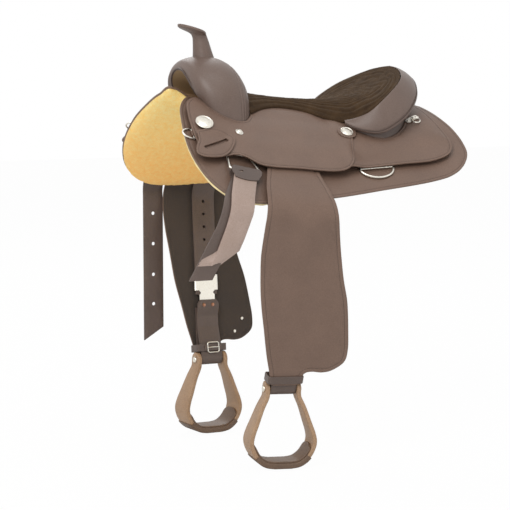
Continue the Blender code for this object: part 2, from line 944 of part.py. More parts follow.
def laid_jockey(name, side, outline, thick=JOCKEY, base=0.0, finish=None, cutters=()):
    """Lay a leather over the jockeys' own surface."""
    bm = sheet(outline, thick, base)
    if cutters:
        bm = carved(bm, cutters)
    grid_cut(bm, CELL_X, CELL_S)
    bend(bm, lambda x, s, k: on_back(side, x, s, jockey_lift(x, s, k)))
    return solid(name, bm, finish or brown())


def jockey_top(side):
    """The jockeys' upper surface as a place function."""
    return lambda x, s, k: on_back(side, x, s, jockey_lift(x, s, JOCKEY + k))


def under_seat_edge(inset, first, last):
    """The seat's edge laid on the side, drawn in by an inset."""
    points = []
    for x, half, _ in flow(SEAT_EDGE, 2, closed=False):
        if first <= x <= last:
            points.append((x, s_at(x, half - inset, jockey_high)))
    return points


def side_jockey(name, side):
    """The side jockey runs from the fork's foot under the seat, and down over the leather."""
    foot = [
        (x, s_at(x, half, bar_high) + 0.0035)
        for x, half, _ in FORK[1:]
    ]
    front = flow((
        (0.080, 0.097), (0.090, 0.106), (0.090, 0.125), (0.079, 0.141), (0.069, 0.155),
        (0.059, 0.188), (0.048, 0.220), (0.026, 0.243),
        (-0.010, 0.251), (-0.087, 0.248), (-0.145, 0.252), (-0.176, 0.251), (-0.200, 0.238),
        (-0.225, 0.231), (-0.262, 0.240), (-0.296, 0.230), (-0.304, 0.200), (-0.302, 0.150),
        (-0.293, 0.108), (-0.276, 0.086),
    ), 2, closed=False)
    seat = under_seat_edge(0.021, -0.135, 0.076)
    outline = foot + [(-0.142, foot[-1][1] - 0.010)] + seat[1:] + front
    return laid_jockey(name, side, outline)


def rear_jockey(name, side):
    """The rear jockey covers the bar behind the seat and butts against the side jockey."""
    butt = [
        (x + 0.0022, s + 0.0010) for x, s in flow((
            (0.026, 0.243), (0.048, 0.220), (0.059, 0.188), (0.069, 0.155), (0.079, 0.141),
            (0.090, 0.125), (0.090, 0.106),
        ), 2, closed=False)[1:]
    ]
    edge = flow((
        (0.272, 0.040), (0.282, 0.090), (0.290, 0.147), (0.293, 0.180), (0.289, 0.208),
        (0.270, 0.229), (0.227, 0.239), (0.165, 0.236), (0.100, 0.236), (0.035, 0.245),
    ), 2, closed=False)
    under_seat = [(x, s_at(x, along_edge(x, 1) - 0.0215, jockey_high)) for x in (0.100, 0.112)]
    wall = []
    for t, q in ((0.65, 0.10), (0.65, 0.75), (0.60, 0.75), (0.55, 0.75), (0.50, 0.72), (0.45, 0.65), (0.39, 0.55),
                 (0.33, 0.47), (0.22, 0.47), (0.12, 0.47), (0.0, 0.47)):
        point = cantle_point(t, q, -ROLL_UNDER)
        wall.append((point.x + 0.001, max(0.0015, s_at(point.x, point.y, jockey_high) + 0.001)))
    outline = edge + butt + under_seat + wall + [(0.268, 0.0015)]
    return laid_jockey(name, side, outline)


# What hangs: leathers, fenders and stirrups.

# The upper leather's lift where the plate joins it to the lower one.
PLY_LIFT = 0.0086

def leather_line():
    """The leather's middle, edge-on: down the outer side, up over the web, down inside."""
    top = SLOT_S + SLOT_HEIGHT / 2 + 0.001
    middle = (inner_ply + outer_ply) / 2
    turn = arc((top, middle), outer_ply - middle, 90, 270, 6)
    outer = [(0.292, 0.0132), (0.250, 0.0122), (BAR_LOW_S + 0.0105, 0.0122), (BAR_LOW_S + 0.001, outer_ply)]
    inner = [(BAR_LOW_S + 0.001, inner_ply), (BAR_LOW_S + 0.020, 0.0084), (0.250, 0.0085), (0.300, 0.0096), (0.420, 0.0096),
             (0.500, PLY_LIFT), (BOLT_S - 0.150, PLY_LIFT)]
    return outer + turn + inner


LEATHER_HOLES = (0.369, 0.398, 0.428, 0.458, 0.488)


def stirrup_leather(name, side, hinge):
    """A leather over the bar's web. Its inner ply has the holes for its length."""
    bm = strap(leather_line(), STRAP / 2, LEATHER_WIDTH)
    holes = [
        pin(0.0035, 0.012, 8, Matrix.Translation((0.0, s, 0.0092)))
        for s in LEATHER_HOLES
    ]
    bm = cut_down(carved(bm, holes), CELL_S, HANG_END_S)
    bend(bm, lambda u, s, lift: on_leather(side, u, s, lift))
    return solid(name, bm, dark(), hinge)


# Half a fender's outline: where each edge lies from the leather's middle.
FENDER_FRONT = (
    (-0.036, 0.164), (-0.046, 0.205), (-0.060, 0.258), (-0.084, 0.318), (-0.096, 0.373),
    (-0.098, 0.435), (-0.094, 0.486), (-0.083, 0.545), (-0.068, 0.600), (-0.053, 0.652),
    (-0.040, 0.685), (-0.0355, 0.700), (-0.0345, 0.722),
)
FENDER_REAR = (
    (0.0345, 0.722), (0.0352, 0.702), (0.042, 0.694), (0.056, 0.692), (0.078, 0.694), (0.100, 0.689),
    (0.118, 0.671), (0.122, 0.645), (0.117, 0.607), (0.104, 0.536), (0.087, 0.470),
    (0.064, 0.372), (0.054, 0.310), (0.047, 0.254), (0.040, 0.200), (0.036, 0.164),
)
FENDER_LIFT = 0.0143


def fender_lift(s):
    """How far out the fender lies over the leather."""
    return lerp(FENDER_LIFT, FENDER_LIFT + 0.0016, smooth((s - 0.25) / 0.05))


def fender(name, side, hinge):
    """The fender: a broad panel with a narrow neck for the hobble strap."""
    outline = flow(FENDER_FRONT, 2, closed=False) + flow(FENDER_REAR, 2, closed=False)
    bm = sheet(outline, FENDER)
    grid_cut(bm, CELL_X, CELL_S)
    bend(bm, lambda u, s, k: on_leather(side, u, s, fender_lift(s) + k))
    return solid(name, bm, brown(), hinge)


BOLT_LIFT = 0.0035
NECK_OUT = 0.0132


def lower_line():
    """The lower leather, edge-on: down the inner side, round the bolt and up outside."""
    ring = LOOP_RADIUS
    turn = arc((BOLT_S, BOLT_LIFT), ring, -90, 90, 10)
    inner = [(BOLT_S - 0.128, PLY_LIFT), (BOLT_S - 0.075, 0.0076), (BOLT_S - 0.030, BOLT_LIFT - 0.0060)]
    outer = [(BOLT_S - 0.030, NECK_OUT - 0.0005), (BOLT_S - 0.075, NECK_OUT), (BOLT_S - 0.120, NECK_OUT)]
    return inner + turn + outer


def lower_leather(name, side, hinge):
    """The lower leather loops round the stirrup's bolt."""
    bm = strap(lower_line(), STRAP / 2, LEATHER_WIDTH)
    bend(bm, lambda u, s, lift: on_leather(side, u, s, lift))
    return solid(name, bm, dark(), hinge)


def bolt_frame(side):
    """The stirrup's frame at its bolt: X along the bolt, Y outwards, Z up."""
    base = frame_at(lambda u, s, lift: on_leather(side, u, s, lift), 0.0, BOLT_S, BOLT_LIFT)
    aft = base.col[0].to_3d()
    up = Vector((0, 0, 1))
    up = (up - aft * up.dot(aft)).normalized()
    out = up.cross(aft)
    matrix = Matrix((aft, out, up)).transposed().to_4x4()
    matrix.translation = base.translation
    return matrix


def stirrup_path():
    """The middle of the stirrup's band on one side, from its ear to the base: out, up, width."""
    ear = STIRRUP_NECK + STIRRUP_BAND / 2
    low = STIRRUP_DROP
    return flow((
        (ear, EAR_RISE, 0.008),
        (ear, EAR_RISE - 0.0025, 0.017),
        (ear, EAR_RISE - 0.008, 0.028),
        (ear, 0.0, EAR_WIDTH),
        (ear, -0.0095, EAR_WIDTH),
        (ear + 0.002, -0.019, EAR_WIDTH + 0.001),
        (ear + 0.012, -0.040, EAR_WIDTH + 0.006),
        (ear + 0.0235, -0.071, EAR_WIDTH + 0.015),
        (STIRRUP_HALF - 0.003, -0.094, TREAD_WIDTH - 0.004),
        (STIRRUP_HALF, -0.112, TREAD_WIDTH - 0.001),
        (STIRRUP_HALF - 0.005, -0.130, TREAD_WIDTH),
        (STIRRUP_HALF - 0.016, -0.146, TREAD_WIDTH),
        (STIRRUP_HALF - 0.032, low * -0.978, TREAD_WIDTH),
        (0.018, -low, TREAD_WIDTH),
    ), 1, closed=False)


def band(path, inside, outside, extra, bevel):
    """A bent band along a path, with its two faces and its edges set out from the middle."""
    rings = []
    for i, (out, up, width) in enumerate(path):
        back = Vector(path[max(0, i - 1)][:2])
        on = Vector(path[min(len(path) - 1, i + 1)][:2])
        along = (on - back).normalized()
        normal = Vector((-along.y, along.x))
        here = Vector((out, up))
        half = width / 2 + extra
        cut = min(bevel, half * 0.5)
        ring = []
        for depth, across in ((outside, half - cut), (outside - cut, half), (-inside + cut, half), (-inside, half - cut),
                              (-inside, cut - half), (-inside + cut, -half), (outside - cut, -half), (outside, cut - half)):
            point = here + normal * depth
            ring.append(Vector((point.x, across, point.y)))
        rings.append(ring)
    return lofted(rings)


def full_path():
    half = stirrup_path()
    mirrored = [(-out, up, width) for out, up, width in half]
    return half + mirrored[::-1]


def stirrup(name, side, hinge):
    """A bent stirrup: one band from ear to ear, widened under the foot."""
    hole = Matrix.Rotation(math.pi / 2, 4, "Y")
    bm = carved(band(full_path(), STIRRUP_BAND / 2, STIRRUP_BAND / 2, 0.0, 0.0015),
                [pin(BOLT_RADIUS + GAP, 0.2, 12, hole)])
    bm.transform(bolt_frame(side))
    return solid(name, bm, tan(), hinge)


def stirrup_tread(name, side, hinge):
    """The tread: a leather sleeve sewn round the stirrup's base."""
    reach = [p for p in full_path() if p[1] < -0.125]
    half = STIRRUP_BAND / 2
    sleeve = band(reach, half + 0.0045, half + 0.0025, 0.0025, 0.0015)
    bore = band([p for p in full_path() if p[1] < -0.100], half + GAP, half + GAP, GAP, 0.0012)
    bm = carved(sleeve, [bore])
    bm.transform(bolt_frame(side))
    return solid(name, bm, dark(), hinge)


def stirrup_bolt(name, side, hinge):
    """The bolt with its roller, its washers and its heads."""
    ear = STIRRUP_NECK + STIRRUP_BAND + GAP
    roller = LOOP_RADIUS - STRAP / 2 - GAP
    end = STIRRUP_NECK - GAP * 2
    profile = ((0, -ear - 0.0035), (0.0050, -ear - 0.0035), (0.0070, -ear - 0.0015), (0.0070, -ear),
               (BOLT_RADIUS, -ear), (BOLT_RADIUS, -end), (roller, -end), (roller, end), (BOLT_RADIUS, end),
               (BOLT_RADIUS, ear), (0.0070, ear), (0.0070, ear + 0.0015), (0.0050, ear + 0.0035), (0, ear + 0.0035))
    matrix = bolt_frame(side) @ Matrix.Rotation(math.pi / 2, 4, "Y")
    return solid(name, turned(profile, 12, matrix), silver(), hinge)


HOBBLE_TOP_S = 0.701
HOBBLE = 0.0165
HOBBLE_LEATHER = 0.0024
HOBBLE_IN = -0.0072
HOBBLE_OUT = 0.0200
HOBBLE_HALF = 0.0365


def hobble_strap(name, side, hinge):
    """The hobble strap holds the fender's neck and both plies together."""
    t = HOBBLE_LEATHER
    outer = rounded([(-HOBBLE_HALF - t, HOBBLE_IN - t), (HOBBLE_HALF + t, HOBBLE_IN - t),
                     (HOBBLE_HALF + t, HOBBLE_OUT + t), (-HOBBLE_HALF - t, HOBBLE_OUT + t)], 0.003)
    inner = rounded([(-HOBBLE_HALF, HOBBLE_IN), (HOBBLE_HALF, HOBBLE_IN),
                     (HOBBLE_HALF, HOBBLE_OUT), (-HOBBLE_HALF, HOBBLE_OUT)], 0.0012)
    turn = Matrix(((1, 0, 0), (0, 0, 1), (0, 1, 0))).to_4x4()
    ring = sheet(outer, HOBBLE, HOBBLE_TOP_S)
    bore = sheet(inner, 0.1, HOBBLE_TOP_S - 0.03)
    for piece in (ring, bore):
        piece.transform(turn)
    bm = bend(carved(ring, [bore]), lambda u, s, lift: on_leather(side, u, s, lift))
    return solid(name, bm, dark(), hinge)


def buckle_frame(side):
    place = lambda u, s, lift: on_leather(side, u, s, lift)
    return frame_at(place, 0.002, HOBBLE_TOP_S + HOBBLE / 2, HOBBLE_IN - HOBBLE_LEATHER - GAP - 0.0013)


def hobble_buckle(name, side, hinge):
    """The hobble's roller buckle lies against the inside of the strap."""
    path = [(*p, 0.0) for p in rounded([(-0.0145, -0.0115), (0.0145, -0.0115), (0.0145, 0.0115), (-0.0145, 0.0115)], 0.005)]
    bm = wire_loop(path, 0.0013)
    bm.transform(buckle_frame(side))
    return solid(name, bm, silver(), hinge)


def hobble_prong(name, side, hinge):
    """The prong turns on the buckle's bar and rests on the far side of the frame."""
    bm = box(-0.0105, 0.0150, -0.0011, 0.0011, -0.0037, -0.0018)
    bm.transform(buckle_frame(side))
    return solid(name, bm, silver(), hinge)


SLEEVE_TOP_S = 0.540
SLEEVE = 0.036


def blevins_sleeve(name, side, hinge):
    """The sleeve slides down over the buckle's plate and locks the leather's length."""
    half, t, room = LEATHER_WIDTH / 2 + GAP * 2, 0.0012, STRAP / 2 + GAP * 1.2
    outer = box(-half - t, half + t, SLEEVE_TOP_S, SLEEVE_TOP_S + SLEEVE,
                PLY_LIFT - room - t, PLY_LIFT + room + t)
    bore = box(-half, half, SLEEVE_TOP_S - 0.02, SLEEVE_TOP_S + SLEEVE + 0.02, PLY_LIFT - room, PLY_LIFT + room)
    bm = bend(carved(outer, [bore]), lambda u, s, lift: on_leather(side, u, s, lift))
    return solid(name, bm, silver(), hinge)


def blevins_plate(name, side, hinge):
    """The plate joins the two leathers. Its two posts enter the upper leather's holes."""
    face = PLY_LIFT - STRAP / 2 - GAP
    bm = sheet(rounded([(-0.020, 0.580), (0.020, 0.580), (0.020, 0.616), (-0.020, 0.616)], 0.004), 0.0022, face - 0.0022)
    bm = bend(bm, lambda u, s, lift: on_leather(side, u, s, lift))
    return solid(name, bm, silver(), hinge)


# Rigging: dees, latigo and billet.

FRONT_DEE_X = -0.212
FRONT_DEE_TOP_S = 0.226
FRONT_DEE_LOW_S = 0.268
FRONT_DEE_HALF = 0.0325
FRONT_DEE_OUT = 0.0132
RIGGING_RING = WIRE / 2 + GAP + STRAP / 2
REAR_DEE_X = 0.100
REAR_DEE_S = 0.230
REAR_DEE_HALF = 0.039
REAR_DEE_DEPTH = 0.034


def front_dee(name, side):
    """The front dee: a rounded frame that leans out under its strap."""
    half = FRONT_DEE_HALF
    path = rounded([(-half + 0.006, FRONT_DEE_TOP_S), (half - 0.006, FRONT_DEE_TOP_S),
                    (half, FRONT_DEE_LOW_S), (-half, FRONT_DEE_LOW_S)], 0.006, 2)
    low = SKIRT + GAP + WIRE / 2 + 0.0004
    points = [(x, s, 0.0) for x, s in path]
    bm = wire_loop(points, WIRE / 2)

    def place(x, s, lift):
        rise = lerp(low, FRONT_DEE_OUT, (s - FRONT_DEE_TOP_S) / (FRONT_DEE_LOW_S - FRONT_DEE_TOP_S))
        return on_back(side, FRONT_DEE_X + x, s, rise + lift)

    return solid(name, bend(bm, place), silver())


def rear_dee_frame(side):
    return frame_at(lambda x, s, lift: on_back(side, x, s, lift), REAR_DEE_X, REAR_DEE_S,
                    SKIRT + GAP + WIRE / 2 + 0.0006)


def rear_dee(name, side, hinge):
    """The rear dee hangs from the bar under the rear jockey's edge."""
    half, depth = REAR_DEE_HALF, REAR_DEE_DEPTH
    path = [(half * math.cos(a), depth * math.sin(a), 0.0)
            for a in [math.pi * i / 12 for i in range(13)]]
    path += [(-half * 0.5, 0.0, 0.0), (half * 0.5, 0.0, 0.0)]
    bm = wire_loop(path, WIRE / 2)
    bm.transform(rear_dee_frame(side))
    return solid(name, bm, silver(), hinge)


def strap_slope(x, s):
    """A rigging strap follows the skirt past its edge, then hangs straight down."""
    return lerp(back_slope(x, min(s, 0.345)), math.radians(92), smooth((s - 0.345) / 0.030))


def on_rigging(side, u, s, lift, lean):
    """A point on a strap that hangs from the front dee."""
    level = smooth((s - 0.335) / 0.06)
    x = FRONT_DEE_X + u - lean * max(0.0, s - FRONT_DEE_LOW_S)
    y, z, angle = walk(lerp(x, FRONT_DEE_X, level), s, strap_slope)
    return Vector((x, side * (y + lift * math.sin(angle)), z + lift * math.cos(angle)))


def rigging_line(outer_end, inner_end):
    """A strap folded over the dee's lower bar, edge-on."""
    turn = arc((FRONT_DEE_LOW_S, FRONT_DEE_OUT), RIGGING_RING, 90, 270, 8)
    out, inside = FRONT_DEE_OUT + RIGGING_RING, FRONT_DEE_OUT - RIGGING_RING
    outer = [(outer_end, out - 0.004), (0.380, out - 0.004), (0.340, out), (0.300, out)]
    inner = [(0.300, inside), (inner_end, inside)]
    return outer + turn + inner


LATIGO_WIDTH = 0.050
BILLET_WIDTH = 0.048


def near_latigo(hinge):
    """The near latigo: two plies of one strap that hang forward from the front dee."""
    bm = cut_down(strap(rigging_line(0.452, 0.490), STRAP / 2, LATIGO_WIDTH), CELL_S, 0.40)
    parting = FRONT_DEE_OUT - RIGGING_RING + STRAP / 2 + 0.0002

    def place(u, s, lift):
        lean = lerp(0.52, 0.42, smooth((lift - parting) / 0.0018))
        return on_rigging(NEAR, u, s, lift, lean)

    return solid("near_latigo", bend(bm, place), dark(), hinge)


def off_billet(hinge):
    """The off billet: a long strap with holes for the cinch buckle."""
    bm = strap(rigging_line(0.712, 0.330), STRAP / 2, BILLET_WIDTH)
    holes = [pin(0.0040, 0.02, 8, Matrix.Translation((0, s, FRONT_DEE_OUT + RIGGING_RING - 0.004)))
             for s in (0.419, 0.489, 0.560, 0.628)]
    bm = cut_down(carved(bm, holes), CELL_S, 0.40)
    bend(bm, lambda u, s, lift: on_rigging(OFF, u, s, lift, 0.012))
    return solid("off_billet", bm, dark(), hinge)


# Small hardware on the jockeys.

BREAST_DEE_HALF = 0.0135


def breast_dee_frame(side):
    return frame_at(lambda x, s, lift: on_back(side, x, s, lift), BREAST_DEE_X, BREAST_DEE_S,
                    BREAST_DEE_LIFT, lead=1)


def breast_dee(name, side, hinge):
    """The breast-collar dee reaches forward of the skirt."""
    half = BREAST_DEE_HALF
    path = [(-0.024 * math.sin(a), half * math.cos(a), 0.0)
            for a in [math.pi * i / 10 for i in range(11)]]
    path += [(0.0, -half * 0.4, 0.0), (0.0, half * 0.4, 0.0)]
    bm = wire_loop(path, RING_WIRE / 2)
    bm.transform(breast_dee_frame(side))
    return solid(name, bm, silver(), hinge)


TAB_OUTLINE = (
    (-0.297, 0.190), (-0.301, 0.215), (-0.311, 0.235), (-0.316, 0.256), (-0.302, 0.262),
    (-0.276, 0.255), (-0.256, 0.246), (-0.236, 0.229), (-0.222, 0.209), (-0.216, 0.190),
    (-0.226, 0.177), (-0.244, 0.171), (-0.262, 0.172), (-0.282, 0.182),
)


def latigo_keeper(name, side):
    """The keeper for the latigo's end: a tab with one slanted slot."""
    slot = box(-0.030, 0.030, -0.0045, 0.0045, -0.05, 0.05)
    slot.transform(Matrix.Translation((-0.262, 0.2155, 0)) @ Matrix.Rotation(math.radians(-31), 4, "Z"))
    return laid_jockey(name, side, flow(TAB_OUTLINE, 2), TAB, JOCKEY + GAP * 4, dark(), [slot])


def dome(name, radius, height, matrix, finish, segments=20):
    """A low domed disc with a rounded rim."""
    profile = ((0, 0), (radius - 0.0008, 0), (radius, 0.0008), (radius - 0.0006, height * 0.55),
               (radius * 0.72, height * 0.85), (radius * 0.35, height), (0, height))
    return solid(name, turned(profile, segments, matrix), finish)


CLIP_X = 0.234
CLIP_S = 0.109
CLIP_RING = 0.0105


def clip_frame(side):
    place = jockey_top(side)
    return frame_at(place, CLIP_X, CLIP_S, GAP) @ Matrix.Rotation(math.radians(-24), 4, "Z")


def half_ring(radius, wire, steps, sides=6):
    """A half ring standing over the XY plane, across Y."""
    rings = []
    for i in range(steps + 1):
        a = lerp(-0.25, math.pi + 0.25, i / steps)
        centre = Vector((0, radius * math.cos(a), radius * math.sin(a)))
        out = Vector((0, math.cos(a), math.sin(a)))
        rings.append([
            centre + out * (wire * math.cos(math.tau * k / sides)) + Vector((wire * math.sin(math.tau * k / sides), 0, 0))
            for k in range(sides)
        ])
    return lofted(rings)


def string_clip(name, side):
    """The clip plate with a staple that carries the saddle-string ring."""
    plate = sheet(rounded([(-0.019, -0.0065), (0.019, -0.0065), (0.019, 0.0065), (-0.019, 0.0065)], 0.005), 0.0016)
    staple = half_ring(0.0046, 0.0010, 7, 5)
    staple.transform(Matrix.Translation((0.0, 0.0020, 0.0016)))
    bm = carved(plate, [staple], "UNION")
    bm.transform(clip_frame(side))
    return solid(name, bm, silver())


def ring_pivot(side):
    return clip_frame(side) @ Matrix.Translation((0.0, 0.0020, 0.0016 + 0.0019))


def string_ring(name, side, hinge):
    """The ring hangs through the staple and lies down the jockey."""
    radius = CLIP_RING - RING_WIRE / 2
    points = [(radius * math.cos(math.tau * k / 16), radius * math.sin(math.tau * k / 16), 0.0) for k in range(16)]
    bm = wire_loop(points, 0.0011, 5)
    bm.transform(ring_pivot(side) @ Matrix.Translation((0.0, radius, 0.0)))
    return solid(name, bm, silver(), hinge)


# Put the saddle together.

def slot_frame(side):
    """The hinge of a fender: across the slot, square to the slope that the fender swings over."""
    return frame_at(lambda x, s, lift: on_back(side, x, s, lift), SLOT_X, SLOT_S, (inner_ply + outer_ply) / 2)


def side_parts(word, side):
    """Everything that is the same on both sides."""
    tree_bar(word + "_tree_bar", side)
    fleece(word + "_fleece", side)
    skirt(word + "_skirt", side)
    side_jockey(word + "_side_jockey", side)
    rear_jockey(word + "_rear_jockey", side)
    latigo_keeper(word + "_latigo_keeper", side)
    top = jockey_top(side)
    lift = TAB + GAP * 3 + 0.0003
    dome(word + "_front_concho", CONCHO / 2, 0.0042, frame_at(top, -0.274, 0.162, lift), silver())
    dome(word + "_rear_concho", REAR_CONCHO / 2, 0.0035, frame_at(top, 0.062, 0.138, GAP), silver(), 16)
    dome(word + "_fork_screw", FORK_SCREW / 2, 0.0028, frame_at(top, -0.196, 0.163, GAP), silver(), 12)
    front_dee(word + "_front_dee", side)

    pivot = hinge_at(word + "_rear_dee_hinge", rear_dee_frame(side).translation)
    rear_dee(word + "_rear_dee", side, pivot)
    pivot = hinge_at(word + "_breast_dee_hinge", breast_dee_frame(side).translation)
    breast_dee(word + "_breast_dee", side, pivot)
    string_clip(word + "_string_clip", side)
    pivot = hinge_at(word + "_string_ring_hinge", ring_pivot(side).translation)
    string_ring(word + "_string_ring", side, pivot)

    swing = hinge_at(word + "_fender_hinge", slot_frame(side).translation)
    stirrup_leather(word + "_stirrup_leather", side, swing)
    fender(word + "_fender", side, swing)
    lower_leather(word + "_lower_leather", side, swing)
    blevins_plate(word + "_blevins_plate", side, swing)
    blevins_sleeve(word + "_blevins_sleeve", side, swing)
    hobble_strap(word + "_hobble_strap", side, swing)
    hobble_buckle(word + "_hobble_buckle", side, swing)
    hobble_prong(word + "_hobble_prong", side, swing)
    pivot = hinge_at(word + "_stirrup_hinge", bolt_frame(side).translation)
    stirrup(word + "_stirrup", side, pivot)
    stirrup_tread(word + "_stirrup_tread", side, pivot)
    stirrup_bolt(word + "_stirrup_bolt", side, pivot)


def main():
    for old in list(bpy.data.objects):
        bpy.data.objects.remove(old, do_unlink=True)
    bpy.context.scene.collection.children.link(OUT)
    fork()
    horn()
    ground_seat()
    seat_cover()
    cantle_roll()
    cantle_wall("cantle_board", 0.10, CANTLE_BACK_Q - 0.12, CANTLE_REACH, wood())
    cantle_wall("cantle_back", CANTLE_BACK_Q - 0.08, CANTLE_BACK_Q, CANTLE_REACH, brown())
    for word, side in SIDES:
        side_parts(word, side)
    for word, side, make in (("near_latigo", NEAR, near_latigo), ("off_billet", OFF, off_billet)):
        where = on_back(side, FRONT_DEE_X, FRONT_DEE_LOW_S, FRONT_DEE_OUT)
        make(hinge_at(word + "_hinge", where))


main()
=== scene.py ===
# %% [markdown]
# # A Western saddle in synthetic leather
# The solids of the saddle are packed already. This lesson dresses them: each leather gets its rounded
# edge, its sewn groove and its stitches, the seat its quilting, the lining its fleece.

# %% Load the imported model
import math

import bmesh
import bpy
import numpy as np
from mathutils import Matrix, Vector, noise


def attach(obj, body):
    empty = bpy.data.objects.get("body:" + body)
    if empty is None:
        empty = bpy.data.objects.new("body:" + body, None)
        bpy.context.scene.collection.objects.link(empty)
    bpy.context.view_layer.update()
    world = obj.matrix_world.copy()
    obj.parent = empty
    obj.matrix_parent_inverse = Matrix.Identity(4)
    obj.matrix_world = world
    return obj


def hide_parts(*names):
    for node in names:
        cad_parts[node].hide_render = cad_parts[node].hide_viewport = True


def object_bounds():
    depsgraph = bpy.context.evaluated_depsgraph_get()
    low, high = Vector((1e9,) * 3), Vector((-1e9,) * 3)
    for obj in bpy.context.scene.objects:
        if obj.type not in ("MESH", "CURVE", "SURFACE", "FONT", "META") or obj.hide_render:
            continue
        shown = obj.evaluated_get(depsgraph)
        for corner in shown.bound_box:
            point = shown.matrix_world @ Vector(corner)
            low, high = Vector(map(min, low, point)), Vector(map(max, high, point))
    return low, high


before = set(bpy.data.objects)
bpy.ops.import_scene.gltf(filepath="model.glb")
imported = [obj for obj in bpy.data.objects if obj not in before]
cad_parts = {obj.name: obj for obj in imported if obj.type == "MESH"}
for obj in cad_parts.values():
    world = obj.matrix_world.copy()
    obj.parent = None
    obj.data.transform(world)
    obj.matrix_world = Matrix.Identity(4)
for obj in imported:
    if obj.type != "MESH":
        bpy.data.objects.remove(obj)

CAD_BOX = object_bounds()
SIDES = (("near", -1), ("off", 1))
print("solids:", len(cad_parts))

# %% [markdown]
# ## The horse's back
# A saddle maker cuts leather flat and then blocks it over the tree. The same is done here. Each leather
# is drawn flat, where x runs along the horse and s is the distance down from the spine, and then each of
# its points is laid on a curved back. One function for the back keeps every layer parallel to the next.

# %% Values of the back and its layers
RIDGE_LOW_X = 0.080
RIDGE_LOW_Z = -0.004
RIDGE_FRONT_CURVE = 0.443
RIDGE_REAR_CURVE = 0.300
BACK_FRONT_X = -0.300
BACK_REAR_X = 0.310
TOP_SLOPE_FRONT = math.radians(18)
TOP_SLOPE_REAR = math.radians(14)
SIDE_SLOPE_FRONT = math.radians(44)
SIDE_SLOPE_REAR = math.radians(36)
SLOPE_RUN = 0.185
WALK_STEPS = 60

GAP = 0.0006
FLEECE = 0.0140
SKIRT = 0.0045
BAR = 0.0140
JOCKEY = 0.0035
JOCKEY_REST = 0.0090
LEATHER_ROOM = 0.0025
SEAT_RISE = 0.0055
TAB = 0.0030
FENDER = 0.0034
STRAP = 0.0034
CHANNEL = 0.056
BAR_LOW_S = 0.150
BAR_FRONT_X = -0.245
BAR_REAR_X = 0.246
SLOT_X = -0.080
SLOT_S = 0.090
SLOT_HEIGHT = 0.024
SLOT_WEB = 0.0044
BAR_MARGIN = 0.008
LEATHER_REACH = 0.118
LEATHER_END_S = 0.30

bar_low = SKIRT + GAP
bar_high = bar_low + BAR
jockey_low = bar_high + GAP
jockey_high = jockey_low + JOCKEY
web_low = bar_low + (BAR - SLOT_WEB) / 2
web_high = web_low + SLOT_WEB
inner_ply = (bar_low + web_low) / 2
outer_ply = web_high + (web_low - bar_low) / 2
print("jockeys lie", round(jockey_low * 1000, 1), "mm over the skirt's underside")


# %% Walk down the back
def mix(a, b, t):
    return a + (b - a) * t


def ease(t):
    t = np.clip(t, 0.0, 1.0)
    return t * t * (3 - 2 * t)


def ridge_height(x):
    curve = np.where(x < RIDGE_LOW_X, RIDGE_FRONT_CURVE, RIDGE_REAR_CURVE)
    return RIDGE_LOW_Z + curve * (x - RIDGE_LOW_X) ** 2


def back_slope(x, s):
    t = (x - BACK_FRONT_X) / (BACK_REAR_X - BACK_FRONT_X)
    top = mix(TOP_SLOPE_FRONT, TOP_SLOPE_REAR, t)
    side = mix(SIDE_SLOPE_FRONT, SIDE_SLOPE_REAR, t)
    return mix(top, side, ease(s / SLOPE_RUN))


def walk(x, s, slope):
    """Follow a slope down from the spine for the distance s, for many points at once."""
    x, s = np.asarray(x, float), np.asarray(s, float)
    step = s / WALK_STEPS
    y, z = np.zeros_like(s), ridge_height(x)
    for i in range(WALK_STEPS):
        angle = slope(x, step * (i + 0.5))
        y = y + np.cos(angle) * step
        z = z - np.sin(angle) * step
    return y, z, slope(x, s)


def on_back(side):
    """The place function of everything that lies on the back."""
    def place(x, s, lift):
        y, z, angle = walk(x, s, back_slope)
        return np.stack([x + 0 * y, side * (y + lift * np.sin(angle)), z + lift * np.cos(angle)], -1)
    return place


def s_at(x, y, lift):
    """The distance down the side to a place in plan."""
    x, y = np.asarray(x, float), np.abs(np.asarray(y, float))
    low, high = np.zeros_like(y), np.full_like(y, 0.45)
    for _ in range(24):
        s = (low + high) / 2
        inside = on_back(1)(x, s, lift)[..., 1] < y
        low, high = np.where(inside, s, low), np.where(inside, high, s)
    return low


def over_back(x, y, lift):
    """The height of a layer over a place in plan."""
    return on_back(1)(np.asarray(x, float), s_at(x, y, lift), lift)[..., 2]


print("the back falls", round(float(-over_back(0.0, 0.25, 0.0)), 3), "m at a quarter metre out")

# %% [markdown]
# ## The hanging leathers
# A stirrup leather and its fender follow the back only to the skirt's edge, then they hang. They also
# turn a little towards the rider's toe. The same place function carries every piece that hangs there.

# %% Values and place of the hanging leathers
LEATHER_WIDTH = 0.056
LEATHER_LEAN = -0.055
HANG_START = 0.315
HANG_RUN = 0.060
HANG_ANGLE = math.radians(103)
TOE_TURN = math.radians(8)
TURN_START = 0.380
TURN_RUN = 0.150
BOLT_S = 0.735
PLY_LIFT = 0.0086
FENDER_LIFT = 0.0143


def hang_slope(x, s):
    along = back_slope(x, np.minimum(s, HANG_START))
    return mix(along, HANG_ANGLE, ease((s - HANG_START) / HANG_RUN))


def on_leather(side):
    """The place function of everything that hangs from the tree's slot."""
    def place(u, s, lift):
        middle = SLOT_X + LEATHER_LEAN * (s - SLOT_S)
        level = ease((s - 0.42) / 0.15)
        turn = TOE_TURN * ease((s - TURN_START) / TURN_RUN)
        y, z, angle = walk(mix(middle + u, middle, level), s, hang_slope)
        out = lift * np.cos(turn) + u * np.sin(turn)
        x = middle + u * np.cos(turn) - lift * np.sin(turn)
        return np.stack([x, side * (y + out * np.sin(angle)), z + out * np.cos(angle)], -1)
    return place


